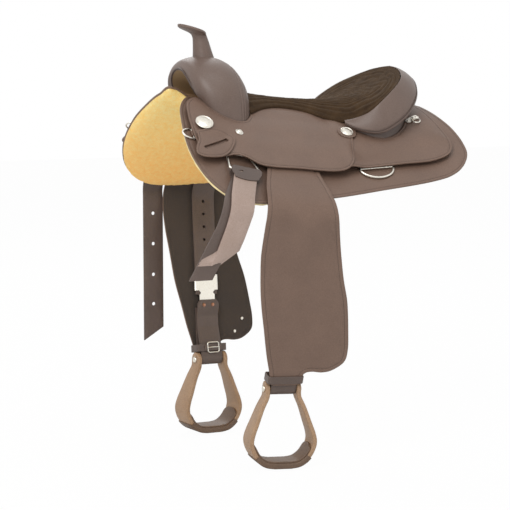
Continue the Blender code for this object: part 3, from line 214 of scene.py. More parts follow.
def jockey_lift(x, s, k):
    """A jockey lies over the bar and the leather's room, settles beyond them, and rises under the seat."""
    over_bar = np.maximum.reduce([BAR_FRONT_X - x, x - BAR_REAR_X, s - BAR_LOW_S + 0.004,
                                  BAR_MARGIN + 0 * x]) - BAR_MARGIN
    over_leather = np.maximum.reduce([np.abs(x - SLOT_X + 0.004) - LEATHER_REACH, s - LEATHER_END_S, 0 * x])
    room = LEATHER_ROOM * ease((s - BAR_LOW_S) / 0.040)
    room = room + (SEAT_RISE * ease((0.100 - s) / 0.040) * ease((x + 0.150) / 0.03)
                   * ease((0.060 - x) / 0.06))
    return mix(jockey_low + room, SKIRT + JOCKEY_REST, ease(np.minimum(over_bar, over_leather) / 0.045)) + k


def on_jockey(side):
    """The place function of the jockeys and of what is sewn or screwed on them."""
    back = on_back(side)
    return lambda x, s, k: back(x, s, jockey_lift(x, s, k))


def overlap(x):
    """The side jockey rises at its rear, where it lies over the rear one."""
    return (JOCKEY + GAP) * ease((x - 0.030) / 0.018)


def on_overlap(side):
    """The place function of the side jockey."""
    place = on_jockey(side)
    return lambda x, s, k: place(x, s, k + overlap(x))


def frame_at(place, a, b, lift, lead=0):
    """A frame on a layer: X runs aft, Y down the side, Z outwards. X or Y leads."""
    step = 0.004
    spots = np.array([[a, b, lift], [a + step, b, lift], [a - step, b, lift],
                      [a, b + step, lift], [a, b - step, lift], [a, b, lift + step]])
    here, fore, rear, below, above, over = [Vector(p) for p in place(*spots.T)]
    aft, down = (fore - rear).normalized(), (below - above).normalized()
    out = aft.cross(down).normalized()
    if out.dot(over - here) < 0:
        out = -out
    if lead == 0:
        down = (down - aft * down.dot(aft)).normalized()
    else:
        aft = (aft - down * aft.dot(down)).normalized()
    matrix = Matrix((aft, down, out)).transposed().to_4x4()
    matrix.translation = here
    return matrix


print("the bolt hangs at", [round(c, 3) for c in frame_at(on_leather(-1), 0.0, BOLT_S, 0.0).translation])

# %% [markdown]
# ## Helpers for flat work
# Three things are needed again and again: a smooth line through a few drawn points, a slab cut from
# such a line, and the laying of that slab on the back. The slab is extruded from one face, its edge is
# bevelled as an edger rounds a cut leather, and a groove is inset where the maker sews it.


# %% Lines
def flow(points, steps=3, closed=True):
    """A smooth line through the points, as a cubic spline that passes each of them."""
    count = len(points)
    line = []
    for i in range(count if closed else count - 1):
        if closed:
            p = [points[(i + k) % count] for k in (-1, 0, 1, 2)]
        else:
            p = [points[min(count - 1, max(0, i + k))] for k in (-1, 0, 1, 2)]
        for j in range(steps):
            t = j / steps
            weights = ((-t + 2 * t * t - t ** 3) / 2, (2 - 5 * t * t + 3 * t ** 3) / 2,
                       (t + 4 * t * t - 3 * t ** 3) / 2, (t ** 3 - t * t) / 2)
            line.append(tuple(sum(w * q[k] for w, q in zip(weights, p)) for k in range(len(p[0]))))
    if not closed:
        line.append(tuple(points[-1]))
    return line


def spaced(line, pitch, closed=True):
    """The same line with its points a steady distance apart."""
    points = np.array([tuple(p) for p in line], float)
    if closed:
        points = np.vstack([points, points[:1]])
    legs = np.linalg.norm(np.diff(points, axis=0), axis=1)
    at = np.concatenate([[0], np.cumsum(legs)])
    count = max(3, int(round(at[-1] / pitch)))
    wanted = np.linspace(0, at[-1], count + 1)[:count if closed else count + 1]
    return np.stack([np.interp(wanted, at, points[:, k]) for k in range(points.shape[1])], -1)


def rounded(points, radius, steps=5):
    """A polygon with its corners rounded to one radius."""
    line = []
    count = len(points)
    for i in range(count):
        here = Vector(points[i])
        back, on = Vector(points[i - 1]) - here, Vector(points[(i + 1) % count]) - here
        cut = min(radius, back.length * 0.45, on.length * 0.45)
        start, end = here + back.normalized() * cut, here + on.normalized() * cut
        for j in range(steps + 1):
            t = j / steps
            line.append(tuple(start.lerp(here, t).lerp(here.lerp(end, t), t)))
    return line


def drawn_in(line, inset, middle):
    """An open line moved towards a point beside it. The inset may change with x."""
    moved = []
    for i, point in enumerate(line):
        along = Vector(line[min(len(line) - 1, i + 1)][:2]) - Vector(line[max(0, i - 1)][:2])
        normal = Vector((along.y, -along.x)).normalized()
        if normal.dot(Vector(middle) - Vector(point[:2])) < 0:
            normal = -normal
        moved.append(tuple(Vector(point[:2]) + normal * (inset(point[0]) if callable(inset) else inset)))
    return moved


# %% Slabs, grooves and bends
GRID = 0.010
EDGE_ROUND = 0.0009
GROOVE_HALF = 0.0009
GROOVE_DEPTH = 0.0004
RIM_ANGLE = math.radians(60)


def slab(outline, thick, base=0.0, edge=EDGE_ROUND, grooves=()):
    """A flat leather with rounded edges. It returns the lines of its grooves, for the stitches."""
    bm = bmesh.new()
    low = bm.faces.new([bm.verts.new((p[0], p[1], base)) for p in outline])
    grown = bmesh.ops.extrude_face_region(bm, geom=[low])
    top = next(f for f in grown["geom"] if isinstance(f, bmesh.types.BMFace))
    for v in top.verts:
        v.co.z = base + thick
    loops = []
    done = 0.0
    for depth in grooves:
        for step, drop in ((depth - GROOVE_HALF - done, 0), (GROOVE_HALF, GROOVE_DEPTH),
                           (GROOVE_HALF, -GROOVE_DEPTH)):
            bm.normal_update()
            bmesh.ops.inset_region(bm, faces=[top], thickness=step, depth=0.0, use_even_offset=False)
            for v in top.verts:
                v.co.z -= drop
            if drop > 0:
                loops.append([v.co.copy() for v in top.verts])
        done = depth + GROOVE_HALF
    rims = [e for e in bm.edges if e.calc_face_angle(0) > RIM_ANGLE
            and abs(e.verts[0].co.z - e.verts[1].co.z) < 1e-6]
    bmesh.ops.bevel(bm, geom=rims, offset=edge, segments=3, profile=0.5, affect="EDGES", material=-1)
    return bm, loops


def grid_cut(bm, cell_x=GRID, cell_y=GRID):
    """Cut a flat piece on a grid, so that it can bend."""
    for axis, cell in ((0, cell_x), (1, cell_y)):
        if not cell:
            continue
        values = [v.co[axis] for v in bm.verts]
        normal = Vector((1, 0, 0)) if axis == 0 else Vector((0, 1, 0))
        for i in range(math.ceil(min(values) / cell + 0.02), math.floor(max(values) / cell - 0.02) + 1):
            bmesh.ops.bisect_plane(bm, geom=bm.verts[:] + bm.edges[:] + bm.faces[:], dist=0.00002,
                                   plane_co=normal * (i * cell), plane_no=normal)


def bend(bm, place):
    """Lay a flat piece in its place."""
    flat = np.array([v.co[:] for v in bm.verts])
    for v, co in zip(bm.verts, place(*flat.T)):
        v.co = co
    return bm


def face_out(bm):
    """Turn the faces of a closed mesh outwards."""
    bmesh.ops.recalc_face_normals(bm, faces=bm.faces[:])
    if bm.calc_volume(signed=True) < 0:
        bmesh.ops.reverse_faces(bm, faces=bm.faces[:])


# %% Solids from rings, wires and turned profiles
def loft(rings, round_trip=False):
    """Extrude a ring of edges from place to place, and close the ends."""
    bm = bmesh.new()
    key = bm.verts.layers.int.new("place")
    verts = []
    for k, co in enumerate(rings[0]):
        v = bm.verts.new(co)
        v[key] = k
        verts.append(v)
    edges = [bm.edges.new((verts[i - 1], verts[i])) for i in range(len(verts))]
    first = edges
    for ring in list(rings[1:]) + ([rings[0]] if round_trip else []):
        grown = bmesh.ops.extrude_edge_only(bm, edges=edges)["geom"]
        edges = [g for g in grown if isinstance(g, bmesh.types.BMEdge)]
        for v in grown:
            if isinstance(v, bmesh.types.BMVert):
                v.co = ring[v[key]]
    if round_trip:
        bmesh.ops.remove_doubles(bm, verts=bm.verts[:], dist=1e-6)
    else:
        for ends in (first, edges):
            bmesh.ops.contextual_create(bm, geom=ends)
    return bm


def wire(points, radius, closed=True, sides=12, radii=None):
    """A round wire along a line in space."""
    points = [Vector(p) for p in points]
    count = len(points)
    rings = []
    side = None
    for i in range(count):
        back = points[i - 1] if closed or i else points[i]
        on = points[(i + 1) % count] if closed or i < count - 1 else points[i]
        along = (on - back).normalized()
        if side is None:
            side = along.orthogonal().normalized()
        side = (side - along * side.dot(along)).normalized()
        up = along.cross(side)
        r = radii[i] if radii is not None else radius
        rings.append([points[i] + side * (r * math.cos(a)) + up * (r * math.sin(a))
                      for a in [math.tau * k / sides for k in range(sides)]])
    return loft(rings, round_trip=closed)


def turned(profile, segments=48, matrix=None):
    """Turn a profile of radius and height about Z. It starts and ends on the axis."""
    bm = bmesh.new()
    verts = [bm.verts.new((r, 0.0, h)) for r, h in profile]
    edges = [bm.edges.new(pair) for pair in zip(verts, verts[1:])]
    bmesh.ops.spin(bm, geom=verts + edges, cent=(0, 0, 0), axis=(0, 0, 1), angle=math.tau,
                   steps=segments, use_merge=True)
    bmesh.ops.remove_doubles(bm, verts=bm.verts[:], dist=0.00001)
    if matrix is not None:
        bm.transform(matrix)
    return bm


def rivet(outline, u, s, lift):
    """A rivet head on the inner face of a flat leather."""
    return turned(outline, 24, Matrix.Translation((u, s, lift)) @ Matrix.Rotation(math.pi, 4, "X"))


def joined(*parts):
    """Several meshes as one."""
    whole = bmesh.new()
    for part in parts:
        face_out(part)
        mesh = bpy.data.meshes.new("part")
        part.to_mesh(mesh)
        part.free()
        whole.from_mesh(mesh)
        bpy.data.meshes.remove(mesh)
    return whole


# %% [markdown]
# ## Pieces
# Every finished mesh becomes one object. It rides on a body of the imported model, stands for the solids
# that it replaces, and takes one of the record's finishes.

# %% One finished piece
SHARP = math.radians(38)
made_pieces = {}


def piece(name, bm, finish, body, stands_for=(), sharp=SHARP):
    """Turn a mesh into one of the saddle's visible pieces."""
    face_out(bm)
    mesh = bpy.data.meshes.new(name)
    bm.to_mesh(mesh)
    bm.free()
    mesh.shade_smooth()
    mesh.set_sharp_from_angle(angle=sharp)
    mesh.materials.append(finish)
    made = bpy.data.objects.new(name, mesh)
    bpy.context.scene.collection.objects.link(made)
    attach(made, body)
    if stands_for:
        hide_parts(*stands_for)
    made_pieces[name] = len(mesh.polygons)
    return made


# %% [markdown]
# ## Stitches
# Thread lies in the groove as short raised loops. Each one is a small capsule: a cube drawn out, with
# its edges bevelled round. Its place is found flat, on the groove's own line, and bent with the leather.

# %% One row of stitches
STITCH_PITCH = 0.0042
STITCH_LENGTH = 0.0034
STITCH_LIFT = 0.00015
THREAD = 0.00042


def stitch_mesh():
    """One stitch, lying along X."""
    bm = bmesh.new()
    bmesh.ops.create_cube(bm, size=1.0, matrix=Matrix.Diagonal((STITCH_LENGTH, THREAD * 2, THREAD * 2, 1)))
    bmesh.ops.bevel(bm, geom=bm.edges[:], offset=THREAD * 0.62, segments=1, profile=0.5,
                    affect="EDGES", material=-1)
    mesh = bpy.data.meshes.new("stitch")
    bm.to_mesh(mesh)
    bm.free()
    return mesh


ONE_STITCH = stitch_mesh()


def stitches(lines, place, skip=None):
    """Rows of stitches on flat closed lines, bent into place. Hidden ones may be skipped."""
    bm = bmesh.new()
    for line in lines:
        points = spaced(line, STITCH_PITCH)
        count = len(points)
        for i in range(count):
            a, b = Vector(points[i]), Vector(points[(i + 1) % count])
            middle = (a + b) / 2
            if skip is not None and skip(middle):
                continue
            first = len(bm.verts)
            bm.from_mesh(ONE_STITCH)
            bm.verts.ensure_lookup_table()
            angle = math.atan2(b.y - a.y, b.x - a.x)
            spot = Matrix.Translation((middle.x, middle.y, middle.z + STITCH_LIFT))
            turn = Matrix.Rotation(angle, 4, "Z")
            bmesh.ops.transform(bm, matrix=spot @ turn, verts=bm.verts[first:])
    return bend(bm, place)


print("a stitch has", len(ONE_STITCH.polygons), "faces")

# %% [markdown]
# ## Finishes
# The cover is a coated synthetic leather: a soft pebble about a millimetre across, pressed by a roller,
# with a satin gloss. The straps are a darker hide with a closer grain. The seat is a synthetic suede,
# whose nap scatters light. The lining is a clipped golden fleece. The fittings are nickel on steel,
# polished and then dulled. One function adds a node with its settings and its links.


# %% Colours and nodes
def linear(code):
    """An sRGB hex colour as linear light."""
    channels = [int(code[i:i + 2], 16) / 255 for i in (1, 3, 5)]
    return tuple(c / 12.92 if c <= 0.04045 else ((c + 0.055) / 1.055) ** 2.4 for c in channels) + (1.0,)


def put(tree, kind, inputs=None, **settings):
    """Add a node. An input is a value or another node's output."""
    node = tree.nodes.new(kind)
    for key, value in settings.items():
        setattr(node, key, value)
    for key, value in (inputs or {}).items():
        if isinstance(value, bpy.types.NodeSocket):
            tree.links.new(value, node.inputs[key])
        else:
            node.inputs[key].default_value = value
    return node


def new_finish(name, slot_name):
    """An empty material with its shader and the object's own coordinates."""
    made = bpy.data.materials.new(name)
    made.use_nodes = True
    made["slot"] = slot_name
    tree = made.node_tree
    shader = tree.nodes["Principled BSDF"]
    place = put(tree, "ShaderNodeTexCoord").outputs["Object"]
    return made, tree, shader, place


def blend_colours(tree, factor, dark, light):
    """A mix of two colours by a pattern."""
    node = put(tree, "ShaderNodeMix", {0: factor, 6: linear(dark), 7: linear(light)}, data_type="RGBA")
    return node.outputs[2]


def leather(name, slot_name, dark, light, roughness, pebble=0.0011, relief=0.00010, mottle=14.0):
    """A pebbled leather with slow changes of colour and gloss."""
    made, tree, shader, place = new_finish(name, slot_name)
    slow = put(tree, "ShaderNodeTexNoise",
               {"Vector": place, "Scale": mottle, "Detail": 4.0, "Roughness": 0.6})
    fine = put(tree, "ShaderNodeTexNoise", {"Vector": place, "Scale": 1 / (pebble * 2), "Detail": 2.0})
    grain = put(tree, "ShaderNodeTexVoronoi", {"Vector": place, "Scale": 1 / pebble, "Randomness": 0.9},
                feature="SMOOTH_F1")
    both = put(tree, "ShaderNodeMath", {0: slow.outputs["Fac"], 1: 0.8}, operation="MULTIPLY")
    both = put(tree, "ShaderNodeMath", {0: both.outputs[0], 1: fine.outputs["Fac"]}, operation="ADD")
    spread = put(tree, "ShaderNodeMapRange", {"Value": both.outputs[0], "From Min": 0.55, "From Max": 1.25})
    colour = blend_colours(tree, spread.outputs["Result"], dark, light)
    gloss = put(tree, "ShaderNodeMapRange", {"Value": slow.outputs["Fac"], "From Min": 0.3, "From Max": 0.7,
                                             "To Min": roughness - 0.05, "To Max": roughness + 0.07})
    bump = put(tree, "ShaderNodeBump",
               {"Height": grain.outputs["Distance"], "Strength": 0.5, "Distance": relief}, invert=True)
    tree.links.new(colour, shader.inputs["Base Color"])
    tree.links.new(gloss.outputs["Result"], shader.inputs["Roughness"])
    tree.links.new(bump.outputs["Normal"], shader.inputs["Normal"])
    shader.inputs["IOR"].default_value = 1.48
    return made


# Coated cloth: grey-brown, satin, with a pressed pebble about a millimetre across.
cover = leather("coated_cover", "brown_cover", "#6a5447", "#7d6557", 0.46)
# The same cloth stretched wet over the fork and the horn: darker, with its pebble pulled flatter.
stretched_cover = leather("stretched_cover", "brown_cover", "#64534a", "#75635a", 0.45, relief=0.00006)
# Strap leather: dark drum-dyed hide with a close grain.
# It is also laid on the cantle's back and on the latigo's inner ply, where its dark tone is painted shade.
strap_hide_and_shade = leather("strap_hide_and_shade", "dark_leather", "#53463f", "#685952", 0.44, pebble=0.0008)
# Oiled hide on the treads.
tread_hide = leather("tread_hide", "dark_leather", "#5f4b3c", "#745d4b", 0.5, pebble=0.0010)
# The latigo is a lighter, waxed hide.
latigo_hide = leather("latigo_hide", "dark_leather", "#9b8577", "#b49f95", 0.42, pebble=0.0008)
# The lining glued inside the gullet: a tan suede.
lining = leather("gullet_lining", "brown_cover", "#83694a", "#9c8260", 0.85, pebble=0.0006, relief=0.00003)
# The rough split side of a leather, seen behind a fender.
# Its dark tone is partly painted shade, for a fender's inner face hangs in the skirts' shadow.
split_hide_and_shade = leather("split_hide_and_shade", "brown_cover", "#3b332e", "#4d433c", 0.85, pebble=0.0006, relief=0.00012)
# Edge paint on a welt or a binding.
welt_hide = leather("welt_hide", "brown_cover", "#43352e", "#53433b", 0.5, pebble=0.0007)
print("leathers:", [m.name for m in (cover, stretched_cover, strap_hide_and_shade, split_hide_and_shade, welt_hide)])


# %% Suede, fleece, stirrup and metal
def brushed_suede():
    """Synthetic suede: short nap that lies in patches, with no gloss."""
    made, tree, shader, place = new_finish("brushed_suede", "brown_suede")
    patch = put(tree, "ShaderNodeTexNoise",
                {"Vector": place, "Scale": 42.0, "Detail": 5.0, "Roughness": 0.65})
    nap = put(tree, "ShaderNodeTexNoise",
              {"Vector": place, "Scale": 900.0, "Detail": 3.0, "Roughness": 0.7})
    both = put(tree, "ShaderNodeMath", {0: patch.outputs["Fac"], 1: nap.outputs["Fac"]}, operation="ADD")
    spread = put(tree, "ShaderNodeMapRange", {"Value": both.outputs[0], "From Min": 0.75, "From Max": 1.25})
    colour = blend_colours(tree, spread.outputs["Result"], "#2f2115", "#4b3824")
    bump = put(tree, "ShaderNodeBump", {"Height": nap.outputs["Fac"], "Strength": 0.6, "Distance": 0.0003})
    tree.links.new(colour, shader.inputs["Base Color"])
    tree.links.new(bump.outputs["Normal"], shader.inputs["Normal"])
    shader.inputs["Roughness"].default_value = 0.95
    shader.inputs["Sheen Weight"].default_value = 0.12
    shader.inputs["Sheen Roughness"].default_value = 0.5
    shader.inputs["Sheen Tint"].default_value = linear("#a08a70")
    shader.inputs["Specular IOR Level"].default_value = 0.2
    return made


def clipped_fleece():
    """Golden fleece: tufts over a fine, matt pile. Painted light makes it paler on the near half and higher
    up.
    """
    made, tree, shader, place = new_finish("clipped_fleece", "golden_fleece")
    tufts = put(tree, "ShaderNodeTexNoise",
                {"Vector": place, "Scale": 120.0, "Detail": 5.0, "Roughness": 0.75})
    pile = put(tree, "ShaderNodeTexNoise",
               {"Vector": place, "Scale": 700.0, "Detail": 3.0, "Roughness": 0.7})
    both = put(tree, "ShaderNodeMath", {0: tufts.outputs["Fac"], 1: pile.outputs["Fac"]}, operation="ADD")
    spread = put(tree, "ShaderNodeMapRange", {"Value": both.outputs[0], "From Min": 0.65, "From Max": 1.3})
    parts = put(tree, "ShaderNodeSeparateXYZ", {0: place})
    # Painted shade and light by height: the lower fleece takes a darker tone, the upper a paler one.
    high = put(tree, "ShaderNodeMapRange",
               {"Value": parts.outputs["Z"], "From Min": -0.13, "From Max": 0.02})
    low_painted_shade_tone = blend_colours(tree, spread.outputs["Result"], "#ffb04c", "#ffdc92")
    high_painted_light_tone = blend_colours(tree, spread.outputs["Result"], "#ffcb62", "#fff0b0")
    tones_painted_by_height = put(tree, "ShaderNodeMix",
                     {0: high.outputs["Result"], 6: low_painted_shade_tone, 7: high_painted_light_tone}, data_type="RGBA")
    # Painted light on the near half, the side that the window lamp lights.
    near = put(tree, "ShaderNodeMapRange",
               {"Value": parts.outputs["Y"], "From Min": 0.02, "From Max": -0.02})
    pale = blend_colours(tree, spread.outputs["Result"], "#ffe09a", "#fff4cc")
    tones_painted_by_side = put(tree, "ShaderNodeMix",
                {0: near.outputs["Result"], 6: tones_painted_by_height.outputs[2], 7: pale}, data_type="RGBA")
    colour = tones_painted_by_side.outputs[2]
    bump = put(tree, "ShaderNodeBump", {"Height": both.outputs[0], "Strength": 0.7, "Distance": 0.0012})
    tree.links.new(colour, shader.inputs["Base Color"])
    tree.links.new(bump.outputs["Normal"], shader.inputs["Normal"])
    shader.inputs["Roughness"].default_value = 1.0
    shader.inputs["Sheen Weight"].default_value = 0.4
    shader.inputs["Sheen Roughness"].default_value = 0.6
    shader.inputs["Sheen Tint"].default_value = linear("#ffe6b0")
    shader.inputs["Specular IOR Level"].default_value = 0.1
    return made


def satin_metal(name, dark, light, roughness):
    """A plated metal, polished and then dulled: fine smears in its gloss."""
    made, tree, shader, place = new_finish(name, "nickel")
    smear = put(tree, "ShaderNodeTexNoise",
                {"Vector": place, "Scale": 260.0, "Detail": 4.0, "Roughness": 0.7})
    colour = blend_colours(tree, smear.outputs["Fac"], dark, light)
    gloss = put(tree, "ShaderNodeMapRange",
                {"Value": smear.outputs["Fac"], "From Min": 0.3, "From Max": 0.7,
                 "To Min": roughness - 0.06, "To Max": roughness + 0.08})
    tree.links.new(colour, shader.inputs["Base Color"])
    tree.links.new(gloss.outputs["Result"], shader.inputs["Roughness"])
    shader.inputs["Metallic"].default_value = 1.0
    return made


def bare_wood():
    """Sawn wood with its grain along the horse. It is hidden under the leathers."""
    made, tree, shader, place = new_finish("bare_wood", "pale_wood")
    along = put(tree, "ShaderNodeMapping", {"Vector": place, "Scale": (6.0, 60.0, 60.0)})
    rings = put(tree, "ShaderNodeTexNoise",
                {"Vector": along.outputs["Vector"], "Scale": 3.0, "Detail": 5.0})
    colour = blend_colours(tree, rings.outputs["Fac"], "#7d6247", "#9a7c5a")
    tree.links.new(colour, shader.inputs["Base Color"])
    shader.inputs["Roughness"].default_value = 0.7
    return made


suede = brushed_suede()
fleece_pile = clipped_fleece()
# Moulded stirrup: tan brown with a faint mottle and a satin face.
stirrup_brown = leather("moulded_tan", "tan_stirrup", "#96765a", "#b19274", 0.42,
                        pebble=0.0014, relief=0.00004, mottle=22.0)
nickel = satin_metal("satin_nickel", "#d2ccbe", "#f6f2ea", 0.30)
copper = satin_metal("copper_rivet", "#9a6a52", "#c0937a", 0.3)
# Bonded thread, two tones darker than the cover.
thread = leather("bonded_thread", "brown_cover", "#4b3c34", "#5b4b42", 0.6, pebble=0.0004, relief=0.00002)
wood = bare_wood()
print("finishes:", len([m for m in bpy.data.materials if m.get("slot")]))

# %% [markdown]
# ## What stays as packed
# The tree's wooden bars, the ground seat and the cantle's board are hidden under leather and right as
# they are, so they only get their wood.

# %% Dress the hidden tree
for node in ("near_tree_bar", "off_tree_bar", "ground_seat", "cantle_board"):
    bpy.data.objects[node].material_slots[0].material = wood
print("wooden parts:", 4)

# %% [markdown]
# ## Skirts and fleece
# The skirts are the lowest leathers, and they carry the fleece that lies on the horse. A fleece could be
# hair, but a clipped one reads as a closed, lumpy surface, so it is a dense slab that thins towards its
# rim. Noise pushes its underside and rim about. Its upper face, flat under the skirt, keeps its line.

# %% The skirts' outline
SKIRT_OUTLINE = (
    (-0.304, 0.106), (-0.3165, 0.160), (-0.322, 0.215),
    (-0.318, 0.262), (-0.301, 0.308), (-0.268, 0.339), (-0.222, 0.347), (-0.130, 0.329),
    (-0.035, 0.310), (0.089, 0.292), (0.223, 0.285), (0.268, 0.277), (0.300, 0.258),
    (0.322, 0.228), (0.328, 0.190), (0.325, 0.143), (0.316, 0.092), (0.305, 0.020),
)
SKIRT_MIDDLE = (0.0, 0.17)
# The front corner by the spine. The off one stands a little higher and further forward.
SKIRT_CORNER = {-1: ((-0.238, 0.028), (-0.257, 0.034), (-0.278, 0.058)),
                1: ((-0.262, 0.018), (-0.281, 0.022), (-0.292, 0.050))}
CORNER_CURL = {-1: 0.002, 1: 0.003}
CORNER_RISE = {-1: 0.0, 1: 0.009}
SKIRT_SEAM = 0.0015
SPINE_REAR_X = 0.297
SPINE_FRONT_X = 0.237
CHANNEL_REAR_X = 0.222


def skirt_outline(side, inset, seam=SKIRT_SEAM):
    """A skirt reaches the spine behind the bars and leaves the channel open before them."""
    curve = flow(SKIRT_CORNER[side] + SKIRT_OUTLINE, 8, closed=False)
    if inset:
        curve = drawn_in(curve, inset, SKIRT_MIDDLE)
    spine = [(SPINE_REAR_X, seam), (SPINE_FRONT_X, seam), (CHANNEL_REAR_X, CHANNEL / 2 + 0.002)]
    return [tuple(p[:2]) for p in curve] + spine


def on_skirt(side):
    """The place function of a skirt, whose front corner curls up a little."""
    back = on_back(side)

    def place(x, s, lift):
        curl = CORNER_CURL[side] * ease((0.150 - s) / 0.120) * ease((-0.220 - x) / 0.045)
        rise = CORNER_RISE[side] * ease((0.052 - s) / 0.034) * ease((-0.230 - x) / 0.035)
        return back(x, s, lift + curl + rise)
    return place


SEWN = 0.0060


def under_jockeys(p):
    """Whether a stitch of the skirt is hidden under the leathers above."""
    return p.y < 0.03 or (p.x > -0.25 and p.x < 0.22 and p.y < 0.2)


for word, side in SIDES:
    place = on_skirt(side)
    bm, rows = slab(skirt_outline(side, 0.0), SKIRT, grooves=(SEWN,))
    grid_cut(bm)
    piece(word + "_skirt_leather", bend(bm, place), cover, "tree", [word + "_skirt"])
    piece(word + "_skirt_stitches", stitches(rows, place, skip=under_jockeys), thread, "tree")
print("skirts:", made_pieces["near_skirt_leather"], "faces each")

# %% The fleece
FLEECE_SEAM = 0.0050
FLEECE_IN_FRONT = 0.0012
FLEECE_IN_BEHIND = 0.0078
FLEECE_ROUND = 0.0030
PILE_CELL = 0.005
PILE_LUMP = 0.0022
TUFT = 0.011
SMALL_TUFT = 0.0045
PILE_RIM = 0.0038
PILE_TAPER = 0.034


def fleece_inset(x):
    """The fleece comes out to the skirt's edge in front and stays behind it further back."""
    return mix(FLEECE_IN_FRONT, FLEECE_IN_BEHIND, float(ease((x + 0.20) / 0.10)))


def from_edge(points, outline):
    """The distance of each point to a closed outline."""
    a = np.array([p[:2] for p in outline])
    run = np.roll(a, -1, axis=0) - a
    at = np.array(points)[:, None, :] - a
    t = np.clip((at * run).sum(-1) / np.maximum((run * run).sum(-1), 1e-12), 0, 1)
    return np.linalg.norm(at - t[..., None] * run, axis=-1).min(1)


def lumps(co, size):
    """Noise from -1 to 1 at one size of tuft."""
    return noise.noise(Vector(co) / size)


for word, side in SIDES:
    place = on_skirt(side)
    outline = skirt_outline(side, fleece_inset, FLEECE_SEAM)
    bm, _ = slab(outline, FLEECE - 0.0004, -FLEECE, edge=FLEECE_ROUND)
    grid_cut(bm, PILE_CELL, PILE_CELL)
    away = from_edge([v.co[:2] for v in bm.verts], outline)
    for v, d in zip(bm.verts, away):
        full = math.sqrt(max(0.0, 1 - (1 - min(1.0, d / PILE_TAPER)) ** 2))
        v.co.z *= mix(PILE_RIM / FLEECE, 1.0, full)
    bend(bm, place)
    bm.normal_update()
    face_out(bm)
    for v in bm.verts:
        push = PILE_LUMP * 0.5 * (lumps(v.co, TUFT) + 0.6 * lumps(v.co, SMALL_TUFT))
        v.co += v.normal * push * (1.0 if v.normal.z < 0.35 else 0.0)
    piece(word + "_fleece_pile", bm, fleece_pile, "tree", [word + "_fleece"], sharp=math.radians(80))
print("fleece:", made_pieces["near_fleece_pile"], "faces each")

# %% [markdown]
# ## Fork and horn
# The fork is the arch over the horse's withers. On a real saddle wet leather is pulled over a wooden
# fork, so it is one smooth swollen form. It is extruded from ring to ring along the horse: each ring
# goes over the swell and comes back under the gullet. Lofting keeps the gullet's wall in the same mesh.

# %% The fork's rings
FORK = (
    (-0.267, 0.083, 0.103), (-0.258, 0.100, 0.116), (-0.241, 0.1125, 0.123), (-0.212, 0.1220, 0.1255),
    (-0.184, 0.124, 0.1205), (-0.162, 0.1165, 0.108), (-0.1455, 0.098, 0.086),
)
GULLET_HALF = 0.055
GULLET_FRONT_Z = 0.096
GULLET_REAR_Z = 0.050
FORK_STEPS = 44
GULLET_STEPS = 30
LINES_X = (-0.1740, -0.1665, -0.1590)
SHOULDER = 0.76
FOOT_SWEEP = 0.017
FORK_PITCH = 0.0014
END_CUTS = (0.0026, 0.0013, 0.0005, 0.0)
LINE_DEPTH = 0.0011
LINE_WIDTH = 0.0014
WELT_OUT = 0.0035


def arch(x, half, top, foot, steps, power=1.0, cut=0.0, sweep=0.0):
    """An arch across the saddle, from one foot over the top to the other. Its feet may be swept aft."""
    angles = np.linspace(0, math.pi, steps + 1)
    rise = np.sin(angles) ** power
    out = (half - cut) * np.cos(angles)
    return [Vector((x + sweep * (1 - r) ** 2, y, foot + (top - cut - foot) * r)) for y, r in zip(out, rise)]


stations = spaced(flow(FORK, 6, closed=False), FORK_PITCH, closed=False)
rings = []
for i, (x, half, top) in enumerate(stations):
    edge = min(i, len(stations) - 1 - i)
    cut = END_CUTS[min(edge, 3)]
    cut += LINE_DEPTH * sum(math.exp(-((x - line) / LINE_WIDTH) ** 2) for line in LINES_X)
    t = (x - FORK[0][0]) / (FORK[-1][0] - FORK[0][0])
    sweep = FOOT_SWEEP * (1 - t) ** 1.5
    foot = float(over_back(x + sweep, half, bar_high))
    low = float(over_back(x + sweep, GULLET_HALF, bar_high + GAP))
    inner_top = min(mix(GULLET_FRONT_Z, GULLET_REAR_Z, t), top - 0.006)
    outer = arch(x, half, top, foot, FORK_STEPS, SHOULDER, cut, sweep)
    inner = arch(x, GULLET_HALF, inner_top, low, GULLET_STEPS, sweep=sweep)
    rings.append(outer + inner[::-1])
bm = loft(rings)
face_out(bm)
for f in bm.faces:
    middle = f.calc_center_median()
    f.material_index = int(f.normal.dot(Vector((0, middle.y, middle.z))) < -0.002 and abs(f.normal.x) < 0.7)
fork_cover = piece("fork_cover", bm, stretched_cover, "tree", ["fork"])
fork_cover.data.materials.append(lining)
low = float(over_back(FORK[0][0] + FOOT_SWEEP, GULLET_HALF, bar_high + GAP))
front = arch(FORK[0][0] - 0.0005, GULLET_HALF + WELT_OUT, GULLET_FRONT_Z + WELT_OUT, low, 48,
             sweep=FOOT_SWEEP)
piece("fork_welt", wire(front, 0.0024, closed=False), welt_hide, "tree")
print("fork rings:", len(rings))

# %% [markdown]
# The horn is one smooth post that flares into a wide flat cap, tipped up at the front. Rings of growing
# size, each turned a little more, carry the neck into the cap without a seam.

# %% The horn's rings
HORN_SIDES = 56
# Each ring: its rear point's x and z, then its front point's x and z.
HORN_RINGS = (
    (-0.1800, 0.1070, -0.2372, 0.1070), (-0.1838, 0.1140, -0.2350, 0.1140),
    (-0.1872, 0.1210, -0.2338, 0.1210), (-0.1924, 0.1350, -0.2334, 0.1350),
    (-0.1970, 0.1490, -0.2336, 0.1500), (-0.2012, 0.1610, -0.2342, 0.1630),
    (-0.2036, 0.1672, -0.2372, 0.1712), (-0.2048, 0.1690, -0.2440, 0.1764),
    (-0.2056, 0.1700, -0.2540, 0.1812), (-0.2062, 0.1710, -0.2624, 0.1852),
    (-0.2066, 0.1724, -0.2664, 0.1884), (-0.2073, 0.1746, -0.2672, 0.1914),
    (-0.2086, 0.1762, -0.2664, 0.1938), (-0.2106, 0.1776, -0.2644, 0.1940),
    (-0.2180, 0.1800, -0.2580, 0.1926), (-0.2300, 0.1838, -0.2460, 0.1890),
)


